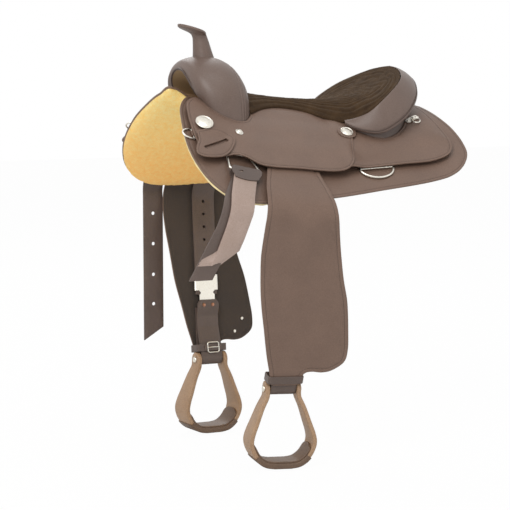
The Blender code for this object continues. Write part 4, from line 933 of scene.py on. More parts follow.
def horn_rings():
    rows = []
    for rear_x, rear_z, front_x, front_z in flow(HORN_RINGS, 4, closed=False):
        middle = Vector(((rear_x + front_x) / 2, 0, (rear_z + front_z) / 2))
        turn = Matrix.Rotation(math.atan2(front_z - rear_z, rear_x - front_x), 4, "Y")
        radius = math.hypot(rear_x - front_x, rear_z - front_z) / 2
        rows.append([middle + turn @ Vector((radius * math.cos(a), radius * math.sin(a), 0))
                     for a in [math.tau * k / HORN_SIDES for k in range(HORN_SIDES)]])
    return rows


piece("horn_cover", loft(horn_rings()), stretched_cover, "tree", ["horn"])
print("horn:", made_pieces["horn_cover"], "faces")

# %% [markdown]
# ## The seat
# The seat is a padded suede pad on the ground seat, quilted in flowing rows. A grid that follows the
# seat's own edge is laid out first, because the rows of quilting follow that edge too. The grid is then
# raised between the rows of stitching and drawn down along them.

# %% The seat's edge
SEAT_EDGE = (
    (-0.146, 0.102, 0.011), (-0.102, 0.077, 0.019), (-0.060, 0.063, 0.020), (-0.016, 0.068, 0.013),
    (0.023, 0.088, 0.000), (0.055, 0.106, -0.011), (0.085, 0.127, -0.008), (0.112, 0.1465, 0.008),
    (0.135, 0.1535, 0.0285), (0.174, 0.141, 0.0570), (0.204, 0.112, 0.0760), (0.226, 0.062, 0.0935),
    (0.235, 0.000, 0.100),
)
SEAT_LOW_X = 0.070
SEAT_LOW_Z = 0.029
SEAT_FRONT_CURVE = 0.47
SEAT_PAD = 0.0100
SEAT_RIM = 0.0045
seat_line = spaced(flow(SEAT_EDGE, 6, closed=False), 0.002, closed=False)


def along_edge(x, index):
    """The seat edge's half width (1) or height (2) at a place along the saddle."""
    return np.interp(x, seat_line[:, 0], seat_line[:, index])


def seat_top(x, y):
    """The seat's plain surface: dished along its middle and rounded over its sides."""
    reach = np.clip((x - SEAT_LOW_X) / (SEAT_EDGE[-1][0] - SEAT_LOW_X), 0, 1)
    fore = SEAT_LOW_Z + SEAT_FRONT_CURVE * (x - SEAT_LOW_X) ** 2
    rear = SEAT_LOW_Z + (SEAT_EDGE[-1][2] - SEAT_LOW_Z) * reach ** 2
    middle = np.where(x < SEAT_LOW_X, fore, rear)
    half = np.maximum(0.004, along_edge(x, 1))
    return mix(middle, along_edge(x, 2), np.minimum(1.0, np.abs(y) / half) ** 2.2)


print("seat edge:", len(seat_line), "points")

# %% Quilting
QUILT_ROW = 0.0135
QUILT_RISE = 0.0032
SEAT_LONG = 150
SEAT_WIDE = 110
SEAT_SEAM = 0.009
SEAM_SINK = 0.0012


def quilt_phase(x, y, inside):
    """Which row of quilting a place lies in. The rows follow the edge and sway in the dish."""
    dish = ease((x - 0.02) / 0.09)
    sway = dish * (0.55 * np.sin(x * 62.0 + np.abs(y) * 30.0) + 0.35 * np.sin(np.abs(y) * 85.0 - x * 25.0))
    return (inside - SEAT_SEAM) / QUILT_ROW + sway * ease(inside / 0.03)


def quilt_height(x, y, inside):
    phase = quilt_phase(x, y, inside)
    puff = np.abs(np.sin(np.pi * phase)) ** 0.55
    rim = ease(inside / SEAT_SEAM)
    piping = 0.4 * QUILT_RISE * np.sqrt(np.clip(1 - (inside / SEAT_SEAM * 2 - 1) ** 2, 0, 1))
    return np.where(inside < SEAT_SEAM, piping, QUILT_RISE * puff) * rim - SEAM_SINK * rim


def seat_mesh():
    bm = bmesh.new()
    bmesh.ops.create_grid(bm, x_segments=SEAT_LONG, y_segments=SEAT_WIDE, size=0.5)
    for v in bm.verts:
        v.co.z = 1.0
    grown = bmesh.ops.extrude_face_region(bm, geom=bm.faces[:])
    for item in grown["geom"]:
        if isinstance(item, bmesh.types.BMVert):
            item.co.z = 0.0
    flat = np.array([v.co[:] for v in bm.verts])
    t = (flat[:, 0] + 0.5) * (len(seat_line) - 1)
    index = np.arange(len(seat_line))
    x = np.interp(t, index, seat_line[:, 0])
    y = np.interp(t, index, seat_line[:, 1]) * flat[:, 1] * 2
    ends = seat_line[:, :2]
    both = np.vstack([ends, ends * (1, -1)])
    inside = np.full(len(x), 1.0)
    for px, py in both:
        inside = np.minimum(inside, np.hypot(x - px, y - py))
    inside = np.maximum(0.0, inside - 0.0004)
    half = np.maximum(0.004, along_edge(x, 1))
    in_rim = ease((half - np.abs(y)) / 0.030)
    room = jockey_lift(x, s_at(x, y, jockey_high), JOCKEY + GAP + overlap(x) * ease((0.100 - x) / 0.010))
    under = np.maximum(seat_top(x, y) - mix(SEAT_RIM, SEAT_PAD, in_rim), over_back(x, y, room))
    over = seat_top(x, y) + quilt_height(x, y, inside)
    rough = np.array([lumps((a, b, 0.3), 0.009) + 0.5 * lumps((a, b, 1.7), 0.004) for a, b in zip(x, y)])
    over = np.maximum(over + 0.0005 * rough * ease(inside / 0.01), under + 0.002)
    z = np.where(flat[:, 2] > 0.5, over, under)
    for v, co in zip(bm.verts, np.stack([x, y, z], -1)):
        v.co = co
    bmesh.ops.remove_doubles(bm, verts=bm.verts[:], dist=0.00005)
    return bm


seat = piece("seat_quilt", seat_mesh(), suede, "tree", ["seat_cover"], sharp=math.radians(70))
print("seat:", made_pieces["seat_quilt"], "faces")

# %% [markdown]
# ## Cantle roll and cantle back
# Round the rear of the seat runs a broad rolled band of cover, which hides the cantle board's edge. One
# section is drawn from the crest over the face to the rim and back inside. It is extruded round the
# cantle, whose crest and rim are two drawn curves.

# %% The cantle's two curves
ROLL_RIM = (
    (0.066, 0.126, -0.020), (0.084, 0.143, -0.030), (0.108, 0.158, -0.0375), (0.132, 0.167, -0.038),
    (0.160, 0.1705, -0.027), (0.201, 0.162, -0.001), (0.235, 0.134, 0.031), (0.258, 0.092, 0.055),
    (0.272, 0.045, 0.071), (0.276, 0.000, 0.076),
)
CREST = (
    (0.068, 0.1170, -0.012), (0.080, 0.1268, -0.009), (0.0987, 0.1412, -0.001), (0.1145, 0.1518, 0.0095),
    (0.1355, 0.1575, 0.0290), (0.1752, 0.1427, 0.0575), (0.2056, 0.1136, 0.0765), (0.2226, 0.0780, 0.0890),
    (0.2340, 0.0380, 0.0972), (0.2370, 0.0000, 0.1005),
)
CURVE_STEPS = 4
crest_line = np.array(flow(CREST[::-1], CURVE_STEPS, closed=False))
rim_line = np.array(flow(ROLL_RIM[::-1], CURVE_STEPS, closed=False))


def cantle_line(t, q):
    """A place between the cantle's crest (q 0) and the roll's rim (q 1)."""
    t, q = np.broadcast_arrays(np.asarray(t, float), np.asarray(q, float))
    at = np.abs(t) * (len(crest_line) - 1)
    index = np.arange(len(crest_line))
    a = np.stack([np.interp(at, index, crest_line[:, k]) for k in range(3)], -1)
    b = np.stack([np.interp(at, index, rim_line[:, k]) for k in range(3)], -1)
    point = a + (b - a) * q[..., None]
    point[..., 1] *= np.where(t >= 0, 1, -1)
    return point


def cantle_point(t, q, height):
    """A place on the roll's face, raised from it along its outward normal."""
    t = np.asarray(t, float)
    across = cantle_line(t, 1.0 + 0 * t) - cantle_line(t, 0 * t)
    ahead, back = np.minimum(1, t + 0.03), np.maximum(-1, t - 0.03)
    along = cantle_line(ahead, 0.5 + 0 * t) - cantle_line(back, 0.5 + 0 * t)
    up = np.cross(across, along)
    up /= np.linalg.norm(up, axis=-1, keepdims=True)
    up *= np.where(up[..., 2:] < 0, -1, 1)
    return cantle_line(t, q) + up * np.asarray(height, float)[..., None]


print("crest and rim:", len(crest_line), "points each")

# %% The roll, its welt and the cantle's back
ROLL_SECTION = (
    (0.0, 0.0), (0.12, 0.0030), (0.5, 0.0050), (0.80, 0.0036), (0.885, 0.0018), (0.93, 0.0020),
    (0.985, 0.0002), (1.0, -0.0034), (0.96, -0.0080), (0.6, -0.0060), (0.24, -0.0052),
)
ROLL_UNDER = 0.0066
ROLL_STATIONS = 128
CANTLE_REACH = 0.86
CANTLE_BACK_Q = 0.36
CANTLE_BACK = 0.08
BAR_REACH = 0.555
WALL_STATIONS = 72

section = np.array(flow(ROLL_SECTION, 4))
t, k = np.meshgrid(np.linspace(-1, 1, ROLL_STATIONS + 1), np.arange(len(section)), indexing="ij")
q, height = section[k, 0], section[k, 1]
points = cantle_point(t, q, height)
room = jockey_high + GAP * 2 + np.maximum(0.0, 0.004 + height) * 0.5
points[..., 2] = np.maximum(points[..., 2], over_back(points[..., 0], points[..., 1], room))
roll = loft([[Vector(p) for p in row] for row in points])
piece("roll_cover", roll, stretched_cover, "tree", ["cantle_roll"])

ends = np.linspace(-0.985, 0.985, 180)
welt = cantle_point(ends, 0.905 + 0 * ends, 0.0022 + 0 * ends)
low = over_back(welt[:, 0], welt[:, 1], jockey_high + GAP * 2 + 0.0024)
welt[:, 2] = np.maximum(welt[:, 2], low)
piece("roll_welt", wire(welt, 0.0011, closed=False, sides=8), welt_hide, "tree")


def cantle_wall(inner, outer, reach):
    """An upright wall under the roll. It stands on the bars, and further round on the jockeys."""
    t = np.linspace(-reach, reach, WALL_STATIONS + 1)
    tops = [cantle_point(t, q + 0 * t, -ROLL_UNDER + 0 * t) for q in (outer, inner)]
    low = np.where(np.abs(t) > BAR_REACH, jockey_high, bar_high) + GAP
    feet = [np.stack([p[:, 0], p[:, 1], over_back(p[:, 0], p[:, 1], low)], -1) for p in tops[::-1]]
    for top, foot in zip(tops, feet[::-1]):
        top[:, 2] = np.maximum(top[:, 2], foot[:, 2] + 0.0004)
    return loft([[Vector(p[i]) for p in feet + tops] for i in range(len(t))])


wall = cantle_wall(CANTLE_BACK_Q - CANTLE_BACK, CANTLE_BACK_Q, CANTLE_REACH)
# The wall takes the dark strap hide so that it reads as the shadow under the roll: painted shade.
piece("cantle_back_cover", wall, strap_hide_and_shade, "tree", ["cantle_back"])
print("roll:", made_pieces["roll_cover"], "faces")

# %% [markdown]
# ## Jockeys and the latigo keeper
# The jockeys are the leathers on top, which cover the tree's bars. Each is one cut piece with a sewn
# edge. The keeper is a tab with a slot, in which a rider tucks the latigo's end.

# %% Jockeys
def under_seat_edge(inset, first, last):
    """The seat's edge laid on the side, drawn in by an inset."""
    line = seat_line[(seat_line[:, 0] >= first) & (seat_line[:, 0] <= last)][::3]
    return list(zip(line[:, 0], s_at(line[:, 0], line[:, 1] - inset, jockey_high)))


fork_foot = np.array(flow(FORK, 4, closed=False))[1:]
fork_foot[:, 0] += FOOT_SWEEP * ((FORK[-1][0] - fork_foot[:, 0]) / (FORK[-1][0] - FORK[0][0])) ** 1.5
foot_line = list(zip(fork_foot[:, 0], s_at(fork_foot[:, 0], fork_foot[:, 1], bar_high) + 0.0006))
SIDE_EDGE = (
    (0.080, 0.097), (0.090, 0.106), (0.090, 0.125), (0.079, 0.141), (0.069, 0.155), (0.059, 0.188),
    (0.048, 0.220), (0.026, 0.243), (-0.010, 0.251), (-0.087, 0.248), (-0.145, 0.252), (-0.176, 0.251),
    (-0.200, 0.238), (-0.225, 0.231), (-0.262, 0.240), (-0.296, 0.230), (-0.304, 0.200), (-0.302, 0.150),
    (-0.292, 0.106), (-0.277, 0.083), (-0.260, 0.071),
)
side_outline = (foot_line + [(-0.1445, foot_line[-1][1] - 0.016)] + under_seat_edge(0.021, -0.133, 0.076)
                + flow(SIDE_EDGE, 7, closed=False))

BUTT = (
    (0.026, 0.243), (0.048, 0.220), (0.059, 0.188), (0.069, 0.155), (0.079, 0.141), (0.090, 0.125),
    (0.090, 0.106),
)
REAR_EDGE = (
    (0.272, 0.040), (0.282, 0.090), (0.290, 0.147), (0.293, 0.180), (0.289, 0.208), (0.270, 0.229),
    (0.227, 0.238), (0.165, 0.234), (0.100, 0.234), (0.040, 0.236),
)
butt = [(x - 0.0075, s + 0.0010) for x, s in flow(BUTT, 6, closed=False)[2:]]
tucked = [(x, float(s_at(x, along_edge(x, 1) - 0.0215, jockey_high))) for x in (0.100, 0.112)]
WALL = ((0.70, 0.06), (0.62, 0.06), (0.575, 0.10), (0.560, 0.39), (0.50, 0.40), (0.45, 0.40), (0.39, 0.40),
        (0.33, 0.40), (0.22, 0.40), (0.12, 0.40), (0.0, 0.40))
behind = []
for t, q in WALL:
    x, y, _ = cantle_point(t, q, -ROLL_UNDER)
    behind.append((x + 0.0003, max(0.0015, float(s_at(x, y, jockey_high)) + 0.0003)))
rear_outline = flow(REAR_EDGE, 7, closed=False) + butt + tucked + behind + [(0.268, 0.0015)]

JOCKEY_SEWN = 0.0050
for word, side in SIDES:
    for name, outline, hidden, place in (
        ("side_jockey", side_outline, lambda p: p.y < 0.105 and p.x > -0.27, on_overlap(side)),
        ("rear_jockey", rear_outline, lambda p: p.x < 0.235 and p.y < 0.12 or p.y < 0.02, on_jockey(side)),
    ):
        bm, rows = slab(outline, JOCKEY, grooves=(JOCKEY_SEWN,))
        grid_cut(bm)
        piece(f"{word}_{name}_leather", bend(bm, place), cover, "tree", [f"{word}_{name}"])
        piece(f"{word}_{name}_stitches", stitches(rows, place, skip=hidden), thread, "tree")
print("jockeys:", made_pieces["near_side_jockey_leather"], made_pieces["near_rear_jockey_leather"])

# %% Keepers
TAB_OUTLINE = (
    (-0.297, 0.190), (-0.301, 0.215), (-0.311, 0.235), (-0.316, 0.256), (-0.302, 0.262),
    (-0.276, 0.255), (-0.256, 0.246), (-0.236, 0.229), (-0.222, 0.209), (-0.216, 0.190),
    (-0.226, 0.177), (-0.244, 0.171), (-0.262, 0.172), (-0.282, 0.182),
)


def carve(bm, cutters):
    """Cut a flat piece with others."""
    scene = bpy.context.scene
    objects = []
    for part in [bm, *cutters]:
        face_out(part)
        holder = bpy.data.objects.new("carving", bpy.data.meshes.new("carving"))
        part.to_mesh(holder.data)
        part.free()
        scene.collection.objects.link(holder)
        objects.append(holder)
    for cutter in objects[1:]:
        step = objects[0].modifiers.new("cut", "BOOLEAN")
        step.operation = "DIFFERENCE"
        step.solver = "EXACT"
        step.object = cutter
    bpy.context.view_layer.update()
    result = bmesh.new()
    result.from_mesh(objects[0].evaluated_get(bpy.context.evaluated_depsgraph_get()).to_mesh())
    for used in objects:
        bpy.data.meshes.remove(used.data)
    bmesh.ops.remove_doubles(result, verts=result.verts[:], dist=0.00001)
    return result


def bar_shape(length, width, depth, matrix):
    """A long rounded block, used as a cutter."""
    bm = bmesh.new()
    outline = rounded([(-length / 2, -width / 2), (length / 2, -width / 2), (length / 2, width / 2),
                       (-length / 2, width / 2)], width / 2)
    face = bm.faces.new([bm.verts.new((x, y, -depth / 2)) for x, y in outline])
    grown = bmesh.ops.extrude_face_region(bm, geom=[face])
    far = [g for g in grown["geom"] if isinstance(g, bmesh.types.BMVert)]
    bmesh.ops.translate(bm, vec=(0, 0, depth), verts=far)
    bm.transform(matrix)
    return bm


TAB_SEWN = 0.0045
TAB_SLOT_X = -0.263
TAB_SLOT_S = 0.2150
TAB_SLOT_TURN = math.radians(-34)
TAB_SLOT_LENGTH = 0.075
TAB_SLOT_WIDTH = 0.0080
TAB_CELL = 0.006

for word, side in SIDES:
    place = on_jockey(side)
    bm, rows = slab(flow(TAB_OUTLINE, 6), TAB, JOCKEY + GAP * 4, grooves=(TAB_SEWN,))
    slot_at = Matrix.Translation((TAB_SLOT_X, TAB_SLOT_S, JOCKEY)) @ Matrix.Rotation(TAB_SLOT_TURN, 4, "Z")
    bm = carve(bm, [bar_shape(TAB_SLOT_LENGTH, TAB_SLOT_WIDTH, 0.05, slot_at)])
    grid_cut(bm, TAB_CELL, TAB_CELL)
    piece(word + "_keeper_leather", bend(bm, place), cover, "tree", [word + "_latigo_keeper"])
    piece(word + "_keeper_stitches", stitches(rows, place), thread, "tree")
print("keepers:", made_pieces["near_keeper_leather"], "faces each")

# %% [markdown]
# ## Fenders and stirrup leathers
# A fender is the broad panel between a rider's leg and the horse. It is one slab with a sewn edge, and
# its inner face is the leather's rough split side. The stirrup leather runs behind it: drawn edge-on as
# a line, it goes over the web of the tree's slot and comes back, and the line is widened to a strap.

# %% Fenders
FENDER_TOP = ((-0.024, 0.164), (-0.034, 0.167), (-0.038, 0.177))
# Each shoulder keeps clear of the strap before it: the near one of the latigo's loop, the off one of the
# billet.
FENDER_SHOULDER = {-1: ((-0.052, 0.205), (-0.073, 0.258), (-0.091, 0.318)),
                   1: ((-0.045, 0.205), (-0.063, 0.258), (-0.085, 0.318))}
FENDER_FRONT = (
    (-0.098, 0.373), (-0.096, 0.435), (-0.088, 0.486), (-0.077, 0.545), (-0.063, 0.600), (-0.050, 0.652),
    (-0.040, 0.685), (-0.0355, 0.700), (-0.0345, 0.711), (-0.0315, 0.719), (-0.0235, 0.722),
)
FENDER_REAR = (
    (0.0235, 0.722), (0.0315, 0.719), (0.0345, 0.711), (0.0352, 0.702), (0.042, 0.694), (0.056, 0.692),
    (0.078, 0.694), (0.100, 0.689), (0.123, 0.671), (0.127, 0.645), (0.122, 0.607), (0.108, 0.536),
    (0.087, 0.470), (0.064, 0.372), (0.054, 0.310), (0.047, 0.254), (0.040, 0.200), (0.038, 0.177),
    (0.034, 0.167), (0.024, 0.164),
)
FENDER_SEWN = 0.0085
FENDER_RIVETS = ((0.098, 0.645), (0.077, 0.674))
RIVET_BACK = ((0, 0), (0.0036, 0), (0.0034, 0.0008), (0.0020, 0.0013), (0, 0.0014))
FENDER_SWELL = 0.0016
FENDER_STEP = 0.0016


def fender_place(side):
    """A fender swells a little between its edges, where leather has hung free."""
    leather_place = on_leather(side)

    def place(u, s, k):
        lift = FENDER_LIFT + FENDER_STEP * ease((s - 0.25) / 0.05)
        swell = FENDER_SWELL * ease((s - 0.36) / 0.06) * ease((0.68 - s) / 0.08)
        swell = swell * np.sin(s * 21.0 + u * 9.0) ** 2 * np.clip(1 - (u / 0.12) ** 2, 0, 1)
        return leather_place(u, s, lift + swell + k)
    return place


for word, side in SIDES:
    place = fender_place(side)
    front = flow(FENDER_TOP + FENDER_SHOULDER[side] + FENDER_FRONT, 7, closed=False)
    fender_outline = front + flow(FENDER_REAR, 7, closed=False)
    bm, rows = slab(fender_outline, FENDER, grooves=(FENDER_SEWN,))
    # The inner face takes the split hide, whose dark tone is partly painted shade.
    for f in bm.faces:
        f.material_index = int(max(v.co.z for v in f.verts) < 0.0001)
    grid_cut(bm)
    made = piece(word + "_fender_leather", bend(bm, place), cover, word + "_fender", [word + "_fender"])
    made.data.materials.append(split_hide_and_shade)
    piece(word + "_fender_stitches", stitches(rows, place), thread, word + "_fender")
    under = stitches(rows, lambda u, s, k: place(u, s, -0.0002 + 0 * k))
    piece(word + "_fender_back_stitches", under, thread, word + "_fender")
    backs = [rivet(RIVET_BACK, u, s, 0.0) for u, s in FENDER_RIVETS]
    piece(word + "_fender_rivets", bend(joined(*backs), place), nickel, word + "_fender")
print("fenders:", made_pieces["near_fender_leather"], "faces each")


# %% Straps drawn edge-on
def arc(centre, radius, start, end, steps):
    """Points on an arc, with angles in degrees."""
    angles = np.radians(np.linspace(start, end, steps + 1))
    return [(centre[0] + radius * math.cos(a), centre[1] + radius * math.sin(a)) for a in angles]


def edge_on(line, half, pitch=0.0022):
    """The outline of a strap whose middle is the line."""
    line = spaced(line, pitch, closed=False)
    left, right = [], []
    for i, point in enumerate(line):
        along = Vector(line[min(len(line) - 1, i + 1)]) - Vector(line[max(0, i - 1)])
        normal = Vector((-along.y, along.x)).normalized()
        left.append(Vector(point) + normal * half)
        right.append(Vector(point) - normal * half)
    return left + right[::-1]


STRAP_ROUND = 0.0008


def strap(line, half, width, pitch=0.0022):
    """A strap of (s, lift), widened along u, with its long edges rounded."""
    bm = bmesh.new()
    face = bm.faces.new([bm.verts.new((p[0], p[1], -width / 2)) for p in edge_on(line, half, pitch)])
    grown = bmesh.ops.extrude_face_region(bm, geom=[face])
    far = [g for g in grown["geom"] if isinstance(g, bmesh.types.BMVert)]
    bmesh.ops.translate(bm, vec=(0, 0, width), verts=far)
    rims = [e for e in bm.edges if abs(e.verts[0].co.z - e.verts[1].co.z) < 1e-7]
    bmesh.ops.bevel(bm, geom=rims, offset=STRAP_ROUND, segments=2, profile=0.5, affect="EDGES", material=-1)
    bm.normal_update()
    bmesh.ops.triangulate(bm, faces=[f for f in bm.faces if len(f.verts) > 4])
    for v in bm.verts:
        s, lift, u = v.co
        v.co = (u, s, lift)
    return bm


def peg(radius, depth, matrix):
    """A plain round cutter for a punched hole."""
    bm = bmesh.new()
    bmesh.ops.create_cone(bm, cap_ends=True, segments=20, radius1=radius, radius2=radius, depth=depth)
    bm.transform(matrix)
    return bm


def leather_line():
    """The stirrup leather: down the outer side, up over the web, down inside."""
    top = SLOT_S + SLOT_HEIGHT / 2 + 0.001
    middle = (inner_ply + outer_ply) / 2
    turn = arc((top, middle), outer_ply - middle, 90, 270, 10)
    outer = [(0.292, 0.0132), (0.250, 0.0122), (BAR_LOW_S + 0.0105, 0.0122), (BAR_LOW_S + 0.001, outer_ply)]
    inner = [(BAR_LOW_S + 0.001, inner_ply), (BAR_LOW_S + 0.020, 0.0084), (0.250, 0.0085), (0.300, 0.0096),
             (0.420, 0.0096), (0.500, PLY_LIFT), (BOLT_S - 0.150, PLY_LIFT)]
    return outer + turn + inner


LEATHER_HOLES = (0.369, 0.398, 0.428, 0.458, 0.488)
LEATHER_HOLE = 0.0035
LOOP_RADIUS = 0.0105
BOLT_LIFT = 0.0035
NECK_OUT = 0.0132
PLATE = 0.0022
PLATE_END_S = 0.598
PLATE_COVER = PLY_LIFT - STRAP - GAP * 2 - PLATE


def lower_line():
    """The lower leather: down the inner side, round the bolt and up outside."""
    turn = arc((BOLT_S, BOLT_LIFT), LOOP_RADIUS, -90, 90, 16)
    inner = [(PLATE_END_S, PLATE_COVER), (PLATE_END_S + 0.018, PLATE_COVER),
             (PLATE_END_S + 0.036, PLY_LIFT - 0.0006), (BOLT_S - 0.075, 0.0076),
             (BOLT_S - 0.030, BOLT_LIFT - 0.0060)]
    outer = [(BOLT_S - 0.030, NECK_OUT - 0.0005), (BOLT_S - 0.075, NECK_OUT), (BOLT_S - 0.120, NECK_OUT)]
    return inner + turn + outer


for word, side in SIDES:
    place, body = on_leather(side), word + "_fender"
    holes = [peg(LEATHER_HOLE, 0.012, Matrix.Translation((0, s, 0.0092))) for s in LEATHER_HOLES]
    bm = carve(strap(leather_line(), STRAP / 2, LEATHER_WIDTH, 0.006), holes)
    grid_cut(bm, 0.014, 0)
    piece(word + "_upper_leather", bend(bm, place), strap_hide_and_shade, body, [word + "_stirrup_leather"])
    bm = strap(lower_line(), STRAP / 2, LEATHER_WIDTH, 0.0025)
    grid_cut(bm, 0.007, 0)
    for v in bm.verts:
        if v.co.y < PLATE_END_S + 0.012 and v.co.z < NECK_OUT - 0.003:
            v.co.x *= 1 - 0.28 * (1 - (v.co.y - PLATE_END_S) / 0.012) ** 2
    piece(word + "_loop_leather", bend(bm, place), strap_hide_and_shade, body, [word + "_lower_leather"])
print("stirrup leathers:", made_pieces["near_upper_leather"], "faces each")

# %% [markdown]
# ## Hobble straps and buckles
# Above each stirrup a narrow strap holds the fender's neck and both plies of the leather together. Its
# buckle lies on the horse's side. The metal sleeve higher up locks the leather's length. Both are belts:
# one small section, extruded round a rounded box.

# %% Belts round the leathers
HOBBLE_TOP_S = 0.701
HOBBLE = 0.0165
HOBBLE_LEATHER = 0.0024
HOBBLE_IN = -0.0072
HOBBLE_OUT = 0.0200
HOBBLE_HALF = 0.0365
BUCKLE_HALF_X = 0.0145
BUCKLE_HALF_Y = 0.0115
BUCKLE_WIRE = 0.0013
SLEEVE_TOP_S = 0.540
SLEEVE = 0.036
SLEEVE_WALL = 0.0012
PLATE_OUTLINE = (
    (-0.020, 0.566), (0.020, 0.566), (0.020, 0.5775), (0.0165, 0.5800), (0.0165, 0.5835), (0.020, 0.586),
    (0.020, 0.612), (-0.020, 0.612), (-0.020, 0.586), (-0.0165, 0.5835), (-0.0165, 0.5800),
    (-0.020, 0.5775),
)
COPPER_HEAD = ((0, 0), (0.0042, 0), (0.0040, 0.0009), (0.0024, 0.0016), (0, 0.0018))
COPPER_U = 0.0115


def belt(half, low, high, thick, corner, top, width, edge):
    """A belt round a box of u and lift, drawn in (u, s, lift)."""
    path = spaced(rounded([(-half, low), (half, low), (half, high), (-half, high)], corner, 8), 0.0022)
    count = len(path)
    section = ((edge, 0), (width - edge, 0), (width, edge), (width, thick - edge), (width - edge, thick),
               (edge, thick), (0, thick - edge), (0, edge))
    rings = []
    for i in range(count):
        along = Vector(path[(i + 1) % count]) - Vector(path[i - 1])
        out = Vector((along.y, -along.x)).normalized()
        here = Vector(path[i])
        rings.append([Vector((here.x + out.x * d, top + w, here.y + out.y * d)) for w, d in section])
    return loft(rings, round_trip=True)


def at_buckle(side):
    """The buckle's frame, on the horse's side of the hobble strap."""
    spot = HOBBLE_IN - HOBBLE_LEATHER - GAP - BUCKLE_WIRE
    return frame_at(on_leather(side), 0.002, HOBBLE_TOP_S + HOBBLE / 2, spot)


for word, side in SIDES:
    place, body = on_leather(side), word + "_fender"
    ring = belt(HOBBLE_HALF, HOBBLE_IN, HOBBLE_OUT, HOBBLE_LEATHER, 0.0016, HOBBLE_TOP_S, HOBBLE, 0.0006)
    tongue, _ = slab(rounded([(-0.020, HOBBLE_TOP_S + 0.0015), (0.026, HOBBLE_TOP_S + 0.0015),
                              (0.026, HOBBLE_TOP_S + 0.0150), (-0.020, HOBBLE_TOP_S + 0.0150)], 0.005),
                     0.0018, HOBBLE_IN - HOBBLE_LEATHER - 0.0019, edge=0.0005)
    grid_cut(tongue, 0.008, 0)
    band_mesh = bend(joined(ring, tongue), place)
    piece(word + "_hobble_band", band_mesh, strap_hide_and_shade, body, [word + "_hobble_strap"])
    x, y = BUCKLE_HALF_X, BUCKLE_HALF_Y
    frame_path = rounded([(-x, -y), (x, -y), (x, y), (-x, y)], 0.005, 6)
    buckle = wire([(x, y, 0.0) for x, y in frame_path], BUCKLE_WIRE)
    buckle.transform(at_buckle(side))
    piece(word + "_hobble_frame", buckle, nickel, body, [word + "_hobble_buckle"])
    prong = wire([(-0.0145, 0, -0.0012), (-0.0110, 0, -0.0027), (-0.0040, 0, -0.0029), (0.0060, 0, -0.0028),
                  (0.0125, 0, -0.0026), (0.0152, 0, -0.0022)], 0.0010, closed=False,
                 radii=(0.0011, 0.0011, 0.0011, 0.0011, 0.0010, 0.0006))
    prong.transform(at_buckle(side))
    piece(word + "_hobble_tongue", prong, nickel, word + "_prong", [word + "_hobble_prong"])
    room = STRAP / 2 + GAP * 1.2
    sleeve = belt(LEATHER_WIDTH / 2 + GAP * 2, PLY_LIFT - room, PLY_LIFT + room, SLEEVE_WALL, 0.0012,
                  SLEEVE_TOP_S, SLEEVE, 0.0004)
    piece(word + "_lock_sleeve", bend(sleeve, place), nickel, word + "_sleeve", [word + "_blevins_sleeve"])
    face = PLY_LIFT - STRAP / 2 - GAP
    plate, _ = slab(rounded(PLATE_OUTLINE, 0.0012, 3), PLATE, face - PLATE, edge=0.0004)
    piece(word + "_lock_plate", bend(plate, place), nickel, body, [word + "_blevins_plate"])
    rivets = [rivet(COPPER_HEAD, u, PLATE_END_S + 0.0125, PLATE_COVER - STRAP / 2)
              for u in (-COPPER_U, COPPER_U)]
    piece(word + "_rivets", bend(joined(*rivets), place), copper, body)
print("hobble straps:", made_pieces["near_hobble_band"], "faces each")

# %% [markdown]
# ## Stirrups
# A stirrup is a bent band: it runs from ear to ear and widens under the foot. A path of out, up and
# width is drawn for one half and mirrored, and a section with rounded edges is extruded along it. The
# tread is leather sewn round the base, with a raised pad that ends in two rounded tips.

# %% The stirrup's path
BOLT_RADIUS = 0.0040
BOLT_HEAD = (
    (0.0070, 0.0), (0.0070, 0.0008), (0.0066, 0.0018), (0.0050, 0.0032), (0.0028, 0.0034),
    (0.0022, 0.0028), (0, 0.0026),
)
STIRRUP_DROP = 0.1605
STIRRUP_BAND = 0.0090
STIRRUP_NECK = 0.0295
STIRRUP_HALF = 0.0690
TREAD_WIDTH = 0.058
EAR_WIDTH = 0.033
EAR_RISE = 0.0165
WRAP_TOP = -0.141
PAD_TOP = -0.117
PAD_ROUND = 6
ear = STIRRUP_NECK + STIRRUP_BAND / 2
STIRRUP_PATH = (
    (ear, EAR_RISE, 0.008), (ear, EAR_RISE - 0.0025, 0.017), (ear, EAR_RISE - 0.008, 0.028),
    (ear, 0.0, EAR_WIDTH), (ear, -0.0095, EAR_WIDTH), (ear + 0.002, -0.019, EAR_WIDTH + 0.001),
    (ear + 0.012, -0.040, EAR_WIDTH + 0.006), (ear + 0.0235, -0.071, EAR_WIDTH + 0.015),
    (STIRRUP_HALF - 0.003, -0.094, TREAD_WIDTH - 0.004), (STIRRUP_HALF, -0.112, TREAD_WIDTH - 0.001),
    (STIRRUP_HALF - 0.005, -0.130, TREAD_WIDTH), (STIRRUP_HALF - 0.016, -0.146, TREAD_WIDTH),
    (STIRRUP_HALF - 0.032, STIRRUP_DROP * -0.978, TREAD_WIDTH), (0.018, -STIRRUP_DROP, TREAD_WIDTH),
)
half_path = [tuple(p) for p in spaced(flow(STIRRUP_PATH, 8, closed=False), 0.0028, closed=False)]
full_path = half_path + [(-out, up, width) for out, up, width in half_path[::-1]]


